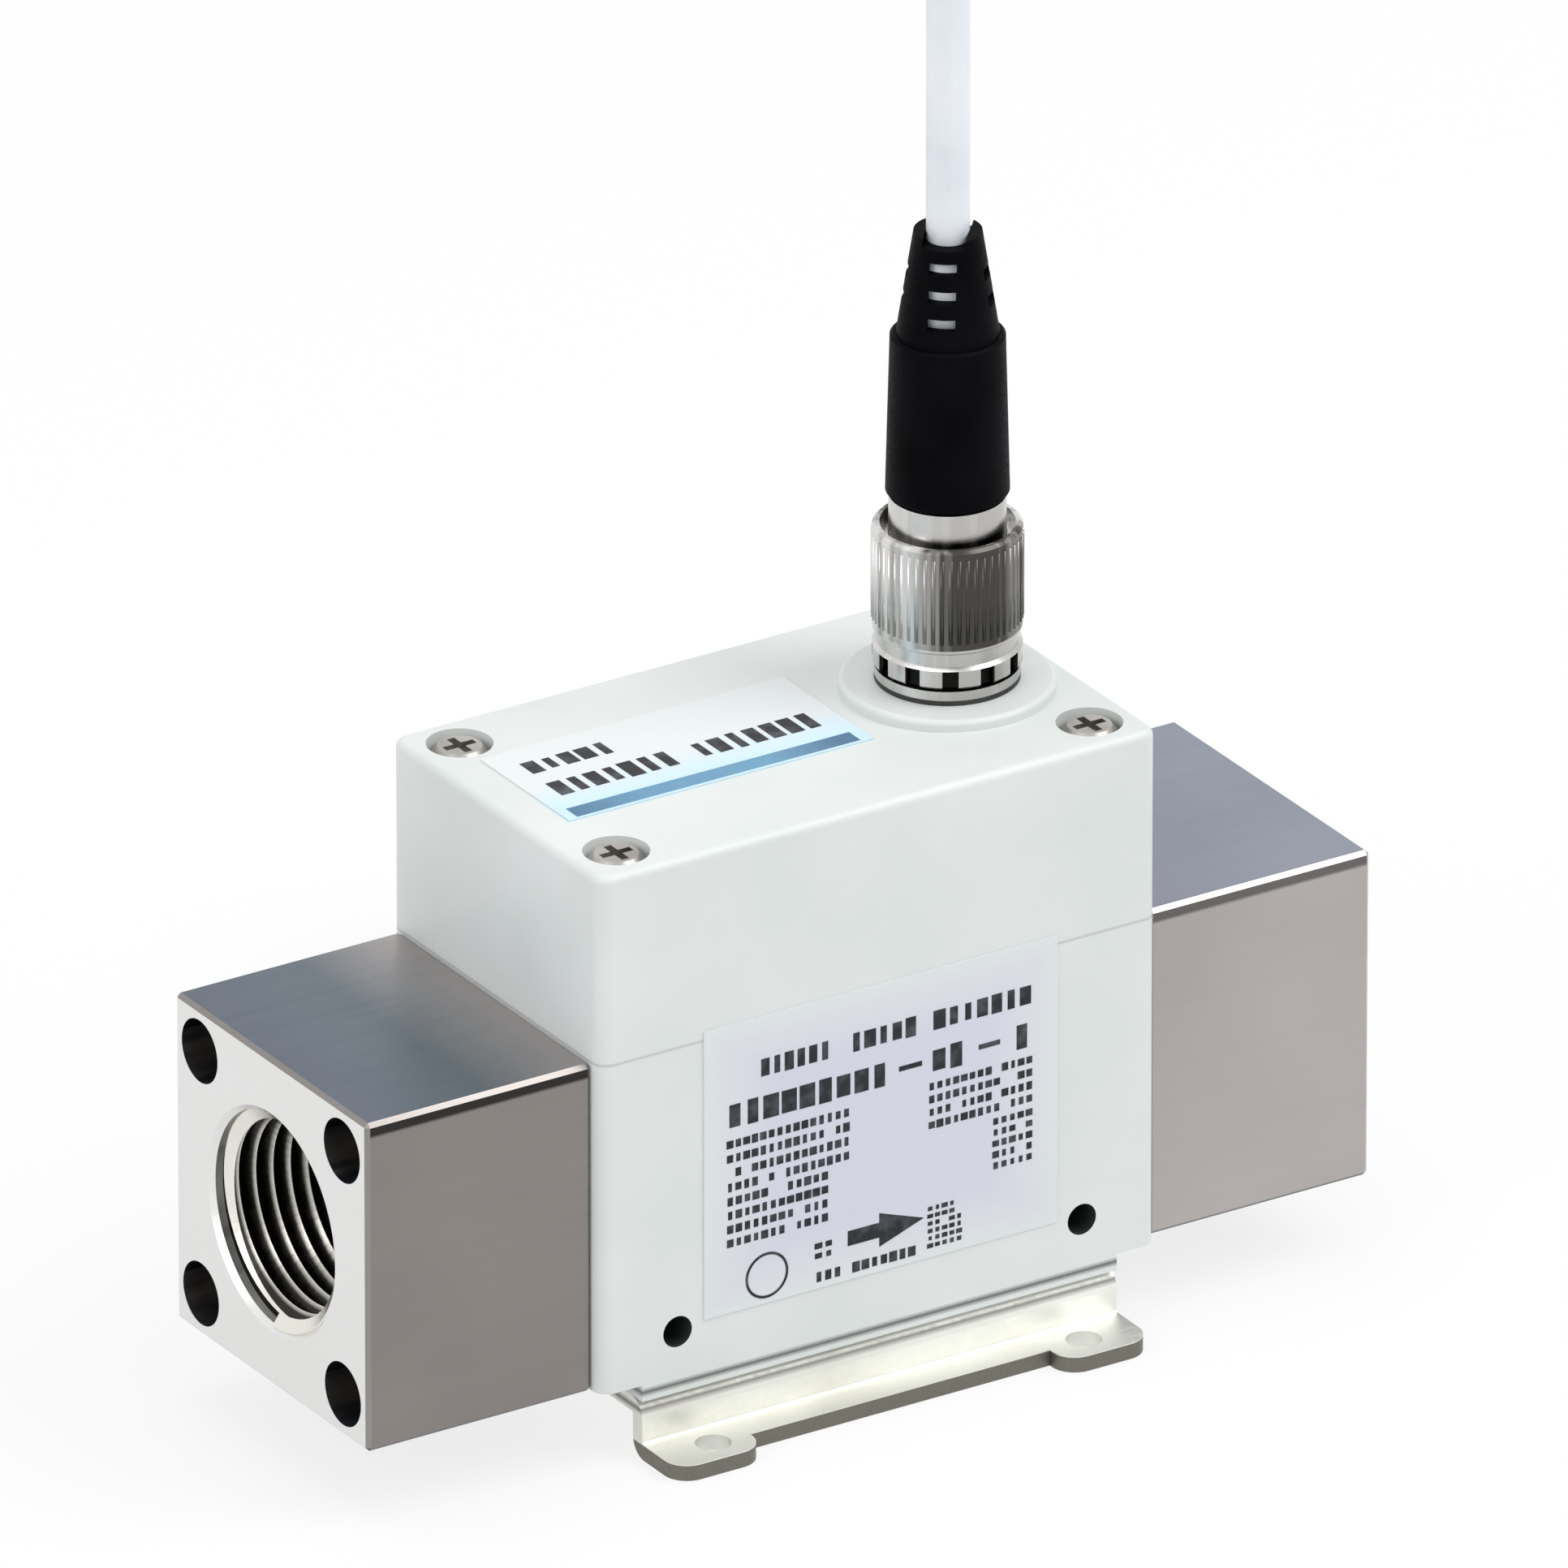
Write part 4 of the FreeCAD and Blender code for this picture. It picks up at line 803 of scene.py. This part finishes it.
# the corners of a regular polygon in the plane
def roundCorners(radius, sides):
    angles = [2 * math.pi * i / sides for i in range(sides)]
    return [(radius * math.cos(angle), radius * math.sin(angle)) for angle in angles]


def moved(x, y, z):
    return Matrix.Translation((x, y, z))


# Threads in the two ports

portThread = {
    "pitch": 1.814 * mm,
    "depth": 1.16 * mm,
    "length": 12.7 * mm,
    "radius": 10.47 * mm,
    "taper": 0.4 * mm,
    "inset": 0.9 * mm,
    "halfRidge": 0.47,  # share of the pitch
    "ridgeSides": 4,
    "turnPoints": 72,
    "roughness": 0.26,
    "metallic": 1.0,
    "crest": (0.80, 0.78, 0.72),
    # painted shade at the roots of the thread
    "root": (0.03, 0.028, 0.025),
    "flankSpan": (0.25, 0.58),
    # painted shade deep inside the port
    "deep": (0.1, 0.094, 0.085),
    "deepShadeShare": 0.6,
    "firstTurn": 2.0 * mm,
    "grain": (700, 2.0),
    "spread": (0.2, 0.32),
}


# cut metal, bright on the first turn and on the crests, with painted shade down the flanks and deep inside
def threadSteel(look):
    material, tree, shader = newFinish("threadSteel", look, look["crest"])
    away = axisDistance(tree, ("Y", "Z"), (0.0, portHeight))
    crest = look["radius"] - look["depth"] - look["taper"]
    share = addMath(tree, "DIVIDE", addMath(tree, "SUBTRACT", away, crest), look["depth"])
    # painted shade down the flanks to the roots
    flanks = addRamp(tree, share, look["crest"], look["root"], look["flankSpan"])
    fromMiddle = addMath(tree, "ABSOLUTE", objectAxis(tree, "X"))
    depth = addMath(tree, "SUBTRACT", endFace, fromMiddle)
    inward = addMath(tree, "DIVIDE", depth, look["length"])
    # painted shade deeper inside the port
    flanks = addMix(tree, addMath(tree, "MULTIPLY", inward, look["deepShadeShare"]), flanks, look["deep"])
    first = addMath(tree, "LESS_THAN", depth, look["firstTurn"])
    paint(tree, shader, addMix(tree, first, flanks, look["crest"]))
    addGrain(tree, shader, look)
    return material


def threadTree(settings, values, material):
    tree, given, identifiers = startTree("portThread", values)
    rounds = addMath(tree, "DIVIDE", given["Length"], given["Pitch"])
    deepest = addMath(tree, "SUBTRACT", given["Radius"], given["Taper"])
    spiral = addNode(tree, "GeometryNodeCurveSpiral", {
        "Resolution": settings["turnPoints"], "Rotations": rounds, "Start Radius": given["Radius"],
        "End Radius": deepest, "Height": given["Length"],
    })
    level = addNode(tree, "GeometryNodeSetCurveNormal", {"Curve": spiral.outputs[0]}, mode="Z_UP")
    ring = addNode(tree, "GeometryNodeCurvePrimitiveCircle", {
        "Resolution": settings["ridgeSides"], "Radius": 1.0,
    })
    half = addMath(tree, "MULTIPLY", given["Pitch"], settings["halfRidge"])
    size = addNode(tree, "ShaderNodeCombineXYZ", {"X": given["Depth"], "Y": half, "Z": 1.0})
    ridge = addNode(tree, "GeometryNodeTransform", {"Geometry": ring.outputs[0], "Scale": size.outputs[0]})
    swept = addNode(tree, "GeometryNodeCurveToMesh", {
        "Curve": level.outputs[0], "Profile Curve": ridge.outputs[0], "Fill Caps": True,
    })
    endTree(tree, swept.outputs[0], material, False)
    return tree, identifiers


def makeThreads(settings):
    values = {
        "Radius": settings["radius"], "Taper": settings["taper"], "Pitch": settings["pitch"],
        "Length": settings["length"], "Depth": settings["depth"],
    }
    tree, identifiers = threadTree(settings, values, threadSteel(settings))
    for name, node, side in (("inletThread", "inlet_block", -1), ("outletThread", "outlet_block", 1)):
        low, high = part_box(node)
        mouth = (low.x if side < 0 else high.x) - side * settings["inset"]
        place = moved(mouth, 0, (low.z + high.z) / 2) @ Matrix.Rotation(-side * math.pi / 2, 4, "Y")
        growPiece(name, tree, identifiers, values, place)


makeThreads(portThread)
print("the ports have their threads")


# Ribs round the coupling nut's sleeve

nutRibs = {
    "count": 54,
    "radius": 0.24 * mm,
    "sunk": 0.13 * mm,
    "sleeveHeight": 10.2 * mm,
    "margin": 0.9 * mm,
    "sides": 10,
}


def ribTree(settings, values, material):
    tree, given, identifiers = startTree("sleeveRibs", values)
    circle = addNode(tree, "GeometryNodeMeshCircle", {"Vertices": given["Count"], "Radius": given["Circle"]})
    rod = addNode(tree, "GeometryNodeMeshCylinder", {
        "Vertices": settings["sides"], "Radius": given["Rib"], "Depth": given["Height"],
    })
    ribs = addNode(tree, "GeometryNodeInstanceOnPoints", {
        "Points": circle.outputs[0], "Instance": rod.outputs["Mesh"],
    })
    endTree(tree, ribs.outputs[0], material, True)
    return tree, identifiers


def makeNutRibs(settings):
    low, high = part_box("coupling_nut")
    values = {
        "Count": settings["count"], "Circle": (high.x - low.x) / 2 - settings["sunk"],
        "Rib": settings["radius"], "Height": settings["sleeveHeight"] - 2 * settings["margin"],
    }
    tree, identifiers = ribTree(settings, values, finishes["nickel"])
    middle = high.z - settings["sleeveHeight"] / 2
    growPiece("nutRibs", tree, identifiers, values, moved((low.x + high.x) / 2, 0, middle))


makeNutRibs(nutRibs)
print("the coupling nut has its ribs")


# Pale inner boot that shows through the windows of the strain relief

innerBoot = {
    "base": 96.2 * mm,
    "top": 104.3 * mm,
    "low": 3.75 * mm,
    "high": 2.45 * mm,
    "sides": 40,
}


def makeInnerBoot(shape):
    sides = shape["sides"]
    points = []
    for radius, height in ((shape["low"], shape["base"]), (shape["high"], shape["top"])):
        points += [(connector[0] + x, connector[1] + y, height) for x, y in roundCorners(radius, sides)]
    faces = [(i, (i + 1) % sides, sides + (i + 1) % sides, sides + i) for i in range(sides)]
    faces += [list(range(sides)), list(range(sides, 2 * sides))]
    addSolidPiece("innerBoot", points, faces, finishes["cable_sheath"], True)


makeInnerBoot(innerBoot)
print("the strain relief shows its inner boot")


# Print on the two labels: rows of plain blocks, a direction arrow and a ring

# left, right, low, high in mm, blocks in a row, rows, share of blocks kept, seed
frontRows = {
    "upperLineLeft": (-13.1, -5.4, 35.3, 37.4, 6, 1, 1.0, 3),
    "upperLineMiddle": (-3.4, 3.9, 35.3, 37.4, 5, 1, 1.0, 5),
    "upperLineRight": (5.5, 16.3, 35.3, 37.4, 7, 1, 1.0, 6),
    "lowerLineLeft": (-16.7, 0.8, 31.0, 33.6, 9, 1, 1.0, 7),
    "lowerLineMiddle": (5.3, 9.0, 31.0, 33.6, 2, 1, 1.0, 2),
    "lowerLineRight": (14.4, 15.9, 31.0, 33.6, 1, 1, 1.0, 4),
    "firstDash": (1.7, 4.6, 32.1, 32.7, 1, 1, 1.0, 1),
    "secondDash": (10.3, 13.0, 32.1, 32.7, 1, 1, 1.0, 1),
    "leftLongRows": (-16.7, -3.3, 24.4, 30.2, 15, 4, 0.92, 8),
    "leftShortRows": (-16.7, -5.6, 18.8, 24.4, 12, 4, 0.86, 9),
    "rightWideRows": (5.0, 16.4, 25.2, 30.4, 13, 4, 0.84, 13),
    "rightRows": (11.9, 16.4, 19.4, 25.0, 5, 5, 0.9, 14),
    "footRow": (-7.2, 3.8, 13.1, 14.2, 11, 1, 0.94, 34),
    "footMark": (-7.3, -5.1, 15.3, 17.3, 2, 2, 1.0, 3),
    "stripRows": (4.9, 8.8, 13.3, 17.8, 5, 6, 0.96, 55),
}
topRows = {
    "topFirstRow": (-23.6, -14.2, 3.9, 6.5, 5, 1, 1.0, 4),
    "topSecondRow": (-23.8, 4.6, -1.5, 1.9, 15, 1, 0.94, 9),
}

# a block's width and height are shares of its cell, and each block is scaled unevenly
blockPrint = {
    "thick": 0.06 * mm,
    "wide": 0.74,
    "tall": 0.62,
    "tallAlone": 0.95,
    "least": (0.55, 0.82, 1.0),
    "most": (1.18, 1.0, 1.0),
}
flowArrow = {"tail": -3.6, "tip": 4.6, "neck": -0.2, "level": 16.7, "shaft": 0.75, "head": 1.7}
plainRing = {"across": -12.3, "level": 15.3, "outer": 2.3, "inner": 2.04, "sides": 36}


def rowValues(row, shape):
    left, right, low, high, columns, lines, kept, seed = row
    return {
        "Columns": columns, "Rows": lines, "Width": (right - left) * mm, "Height": (high - low) * mm,
        "Wide": shape["wide"], "Tall": shape["tall"] if lines > 1 else shape["tallAlone"],
        "Thick": shape["thick"], "Kept": kept, "Seed": seed,
    }


def blocksTree(shape, values, material):
    tree, given, identifiers = startTree("printedBlocks", values)
    order = addNode(tree, "GeometryNodeInputIndex").outputs[0]
    column = addMath(tree, "MODULO", order, given["Columns"])
    row = addMath(tree, "FLOOR", addMath(tree, "DIVIDE", order, given["Columns"]))
    cellWide = addMath(tree, "DIVIDE", given["Width"], given["Columns"])
    cellTall = addMath(tree, "DIVIDE", given["Height"], given["Rows"])
    place = addNode(tree, "ShaderNodeCombineXYZ", {
        "X": addMath(tree, "MULTIPLY", addMath(tree, "ADD", column, 0.5), cellWide),
        "Y": addMath(tree, "MULTIPLY", addMath(tree, "ADD", row, 0.5), cellTall),
    })
    points = addNode(tree, "GeometryNodePoints", {
        "Count": addMath(tree, "MULTIPLY", given["Columns"], given["Rows"]), "Position": place.outputs[0],
    })
    size = addNode(tree, "ShaderNodeCombineXYZ", {
        "X": addMath(tree, "MULTIPLY", cellWide, given["Wide"]),
        "Y": addMath(tree, "MULTIPLY", cellTall, given["Tall"]), "Z": given["Thick"],
    })
    block = addNode(tree, "GeometryNodeMeshCube", {"Size": size.outputs[0]})
    kept = addNode(tree, "FunctionNodeRandomValue", {
        "Probability": given["Kept"], "Seed": given["Seed"],
    }, data_type="BOOLEAN")
    uneven = addNode(tree, "FunctionNodeRandomValue", {
        "Min": shape["least"], "Max": shape["most"], "Seed": given["Seed"],
    }, data_type="FLOAT_VECTOR")
    blocks = addNode(tree, "GeometryNodeInstanceOnPoints", {
        "Points": points.outputs[0], "Instance": block.outputs["Mesh"],
        "Selection": shownOutput(kept), "Scale": shownOutput(uneven),
    })
    endTree(tree, blocks.outputs[0], material, False)
    return tree, identifiers


# the blocks lie flat with their rows along X, and the front label's are turned up on its face
def printRows(tree, identifiers):
    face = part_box("front_label")[0].y
    for name, row in frontRows.items():
        place = moved(row[0] * mm, face, row[2] * mm) @ Matrix.Rotation(math.pi / 2, 4, "X")
        growPiece(name, tree, identifiers, rowValues(row, blockPrint), place)
    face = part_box("top_label")[1].z
    for name, row in topRows.items():
        place = moved(row[0] * mm, row[2] * mm, face)
        growPiece(name, tree, identifiers, rowValues(row, blockPrint), place)


# closed loops in mm, each given as across and up, raised from the front label by the print's
# thickness; a second loop is a hole with as many corners as the first
def addFlatPrint(name, loops):
    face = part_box("front_label")[0].y
    half, corners = blockPrint["thick"] / 2, len(loops[0])
    levels = (face + half, face - half)
    points = [(across * mm, level, up * mm) for level in levels for loop in loops for across, up in loop]
    layer = corners * len(loops)
    faces = []
    for start in range(0, layer, corners):
        for i in range(corners):
            here, following = start + i, start + (i + 1) % corners
            faces.append((here, following, following + layer, here + layer))
    for lift in (0, layer):
        if len(loops) == 1:
            faces.append([lift + i for i in range(corners)])
            continue
        for i in range(corners):
            following = (i + 1) % corners
            faces.append((lift + i, lift + following, lift + corners + following, lift + corners + i))
    addSolidPiece(name, points, faces, ink)


def addArrow(shape):
    level, shaft, head = shape["level"], shape["shaft"], shape["head"]
    outline = [
        (shape["tail"], level - shaft), (shape["neck"], level - shaft), (shape["neck"], level - head),
        (shape["tip"], level), (shape["neck"], level + head), (shape["neck"], level + shaft),
        (shape["tail"], level + shaft),
    ]
    addFlatPrint("flowArrow", [outline])


def addRing(shape):
    loops = []
    for radius in (shape["outer"], shape["inner"]):
        turned = roundCorners(radius, shape["sides"])
        loops.append([(shape["across"] + across, shape["level"] + up) for across, up in turned])
    addFlatPrint("plainRing", loops)


blockDefaults = rowValues(frontRows["upperLineLeft"], blockPrint)
printRows(*blocksTree(blockPrint, blockDefaults, ink))
addArrow(flowArrow)
addRing(plainRing)
print("the labels have their print")


# The cable: up from the plug, over and down behind the housing, round the coil and out to its cores

cable = {
    "diameter": 4 * mm,
    "length": 3.0,
    "heading": 57.5,  # of the upright plane that the free cable stands in, in degrees from X
    "exit": (*connector, 105.3 * mm),
    "coilMiddle": (25.6 * mm, 52.5 * mm),
    "coilRadius": 20 * mm,
    "columns": 4,
    "layers": 5,
    "gap": 0.1 * mm,
    "turnPoints": 16,
    "smoothness": 5,
    "roundness": 4,
}

# distance from the connector's axis and height, in metres
cableRoute = [
    (0, 0.09565), (0, 0.1175), (0.0006, 0.1415), (0.01, 0.1615), (0.0307, 0.169), (0.0497, 0.158),
    (0.0553, 0.1367), (0.0465, 0.111), (0.034, 0.0865), (0.028, 0.0615),
    (0.02784, 0.0361), (0.04184, 0.0221), (0.06034, 0.0221),
]

# angles round the coil, in degrees: where the cable has gone inwards over it, where its
# first full turn starts and where it ends, and the share of a turn after which it moves to
# the next one
coilWinding = {"inward": 236, "start": 300, "stay": 0.88, "end": 7740}

cableCores = ("core_brown", "core_white", "core_blue", "core_black", "core_tips")


def easeTo(share):
    share = min(max(share, 0), 1)
    return share * share * (3 - 2 * share)


# radius and height of a turn, counted from the top layer's innermost turn
def turnPlace(facts, turn):
    wide = facts["diameter"]
    if turn >= facts["columns"] * facts["layers"]:
        return facts["coilRadius"] + wide * (facts["columns"] + 1) / 2 + facts["gap"], wide / 2 + facts["gap"]
    layer, column = divmod(turn, facts["columns"])
    if layer % 2:
        column = facts["columns"] - 1 - column
    radius = facts["coilRadius"] + wide * (column + 0.5 - facts["columns"] / 2)
    return radius, wide * (facts["layers"] - layer - 0.5)


def coilPoints(facts, winding, landed):
    middle = Vector((*facts["coilMiddle"], 0))
    step = 360 / facts["turnPoints"]
    firstRadius, firstHeight = (landed - middle).to_2d().length, landed.z
    points = []
    angle = step / 2
    while angle < winding["end"]:
        turns = (angle - winding["start"]) / 360
        if turns < 0:
            inner, lower = turnPlace(facts, 0)
            inward = easeTo(angle / winding["inward"])
            down = easeTo((angle - winding["inward"]) / (winding["start"] - winding["inward"]))
            radius = firstRadius + (inner - firstRadius) * inward
            height = firstHeight + (lower - firstHeight) * down
        else:
            here, there = turnPlace(facts, int(turns)), turnPlace(facts, int(turns) + 1)
            share = easeTo((turns - int(turns) - winding["stay"]) / (1 - winding["stay"]))
            radius = here[0] + (there[0] - here[0]) * share
            height = here[1] + (there[1] - here[1]) * share
        outward = radius / math.cos(math.radians(step / 2))  # the spline runs inside its points
        turned = math.radians(angle)
        points.append(middle + Vector((outward * math.cos(turned), outward * math.sin(turned), height)))
        angle += step
    radius, height = turnPlace(facts, facts["columns"] * facts["layers"])
    turned = math.radians(winding["end"])
    points.append(middle + Vector((radius * math.cos(turned), radius * math.sin(turned), height)))
    return points


# Tie that holds the coil: where it stands round the coil in degrees, and the middles of
# the outermost cables that it goes round, as radius and height in mm
coilTie = {
    "angle": 246,
    "width": 2.8 * mm,
    "thick": 0.7 * mm,
    "corners": ((14, 22.1), (14, 2.75), (26, 2.75), (26, 18)),
    "hug": 2.02 * mm,
    "arcPoints": 9,
    "head": (4.6 * mm, 2.6 * mm, 4.4 * mm),  # along the strap, outwards and across it
}
boxFaces = ((0, 1, 3, 2), (4, 6, 7, 5), (0, 4, 5, 1), (2, 3, 7, 6), (0, 2, 6, 4), (1, 5, 7, 3))


# round each corner: the cable's middle, with the directions in which the strap lies off it
def tiePath(shape):
    corners = [Vector(corner) * mm for corner in shape["corners"]]
    path = []
    for i, corner in enumerate(corners):
        start, end = corner - corners[i - 1], corners[(i + 1) % len(corners)] - corner
        first = math.atan2(-start.x, start.y)
        turn = (math.atan2(-end.x, end.y) - first) % (2 * math.pi)
        for k in range(shape["arcPoints"]):
            angle = first + turn * k / (shape["arcPoints"] - 1)
            path.append((corner, Vector((math.cos(angle), math.sin(angle)))))
    return path


# the strap and its head are laid out by radius, height and distance aside, then turned to
# the tie's place round the coil
def makeCoilTie(facts, shape):
    path = tiePath(shape)
    flat = []
    for corner, away in path:
        for reach in (shape["hug"], shape["hug"] + shape["thick"]):
            flat += [(corner + away * reach, side * shape["width"] / 2) for side in (-1, 1)]
    count, faces = len(path), []
    for i in range(count):
        here, following = 4 * i, 4 * ((i + 1) % count)
        for a, b in ((0, 1), (1, 3), (3, 2), (2, 0)):
            faces.append((here + a, here + b, following + b, following + a))
    faces += [[len(flat) + i for i in face] for face in boxFaces]
    length, height, width = shape["head"]
    away = path[0][1]
    along = Vector((-away.y, away.x)) * length / 2
    for end in (-1, 1):
        seat = (path[0][0] + path[-1][0]) / 2 + along * end
        for reach in (shape["hug"], shape["hug"] + height):
            flat += [(seat + away * reach, side * width / 2) for side in (-1, 1)]
    turned = math.radians(shape["angle"])
    outwards = Vector((math.cos(turned), math.sin(turned), 0))
    aside = Vector((-math.sin(turned), math.cos(turned), 0))
    middle = Vector((*facts["coilMiddle"], 0))
    points = [middle + outwards * spot.x + aside * shift + Vector((0, 0, spot.y)) for spot, shift in flat]
    return addSolidPiece("coilTie", points, faces, finishes["plug_black"])


def makeCable(facts, route, winding):
    heading = math.radians(facts["heading"])
    ahead = Vector((math.cos(heading), math.sin(heading), 0))
    axis = Vector((*connector, 0))
    points = [axis + ahead * reach + Vector((0, 0, height)) for reach, height in route]
    points += coilPoints(facts, winding, points[-1])
    curve = bpy.data.curves.new("leadCable", "CURVE")
    curve.dimensions = "3D"
    curve.resolution_u = facts["smoothness"]
    curve.bevel_depth = facts["diameter"] / 2
    curve.bevel_resolution = facts["roundness"]
    curve.use_fill_caps = True
    spline = curve.splines.new("NURBS")
    spline.points.add(len(points) - 1)
    for held, point in zip(spline.points, points):
        held.co = (*point, 1)
    spline.order_u = 3
    spline.use_endpoint_u = True
    curve.materials.append(finishes["cable_sheath"])
    piece = ridePiece(newPiece("leadCable", curve))
    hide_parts("cable", "cable_coil", "cable_tail")
    onCable = [frame["nodes"][name] for name in cableCores]
    onCable.append(makeCoilTie(facts, coilTie))


makeCable(cable, cableRoute, coilWinding)
print("the cable is laid")
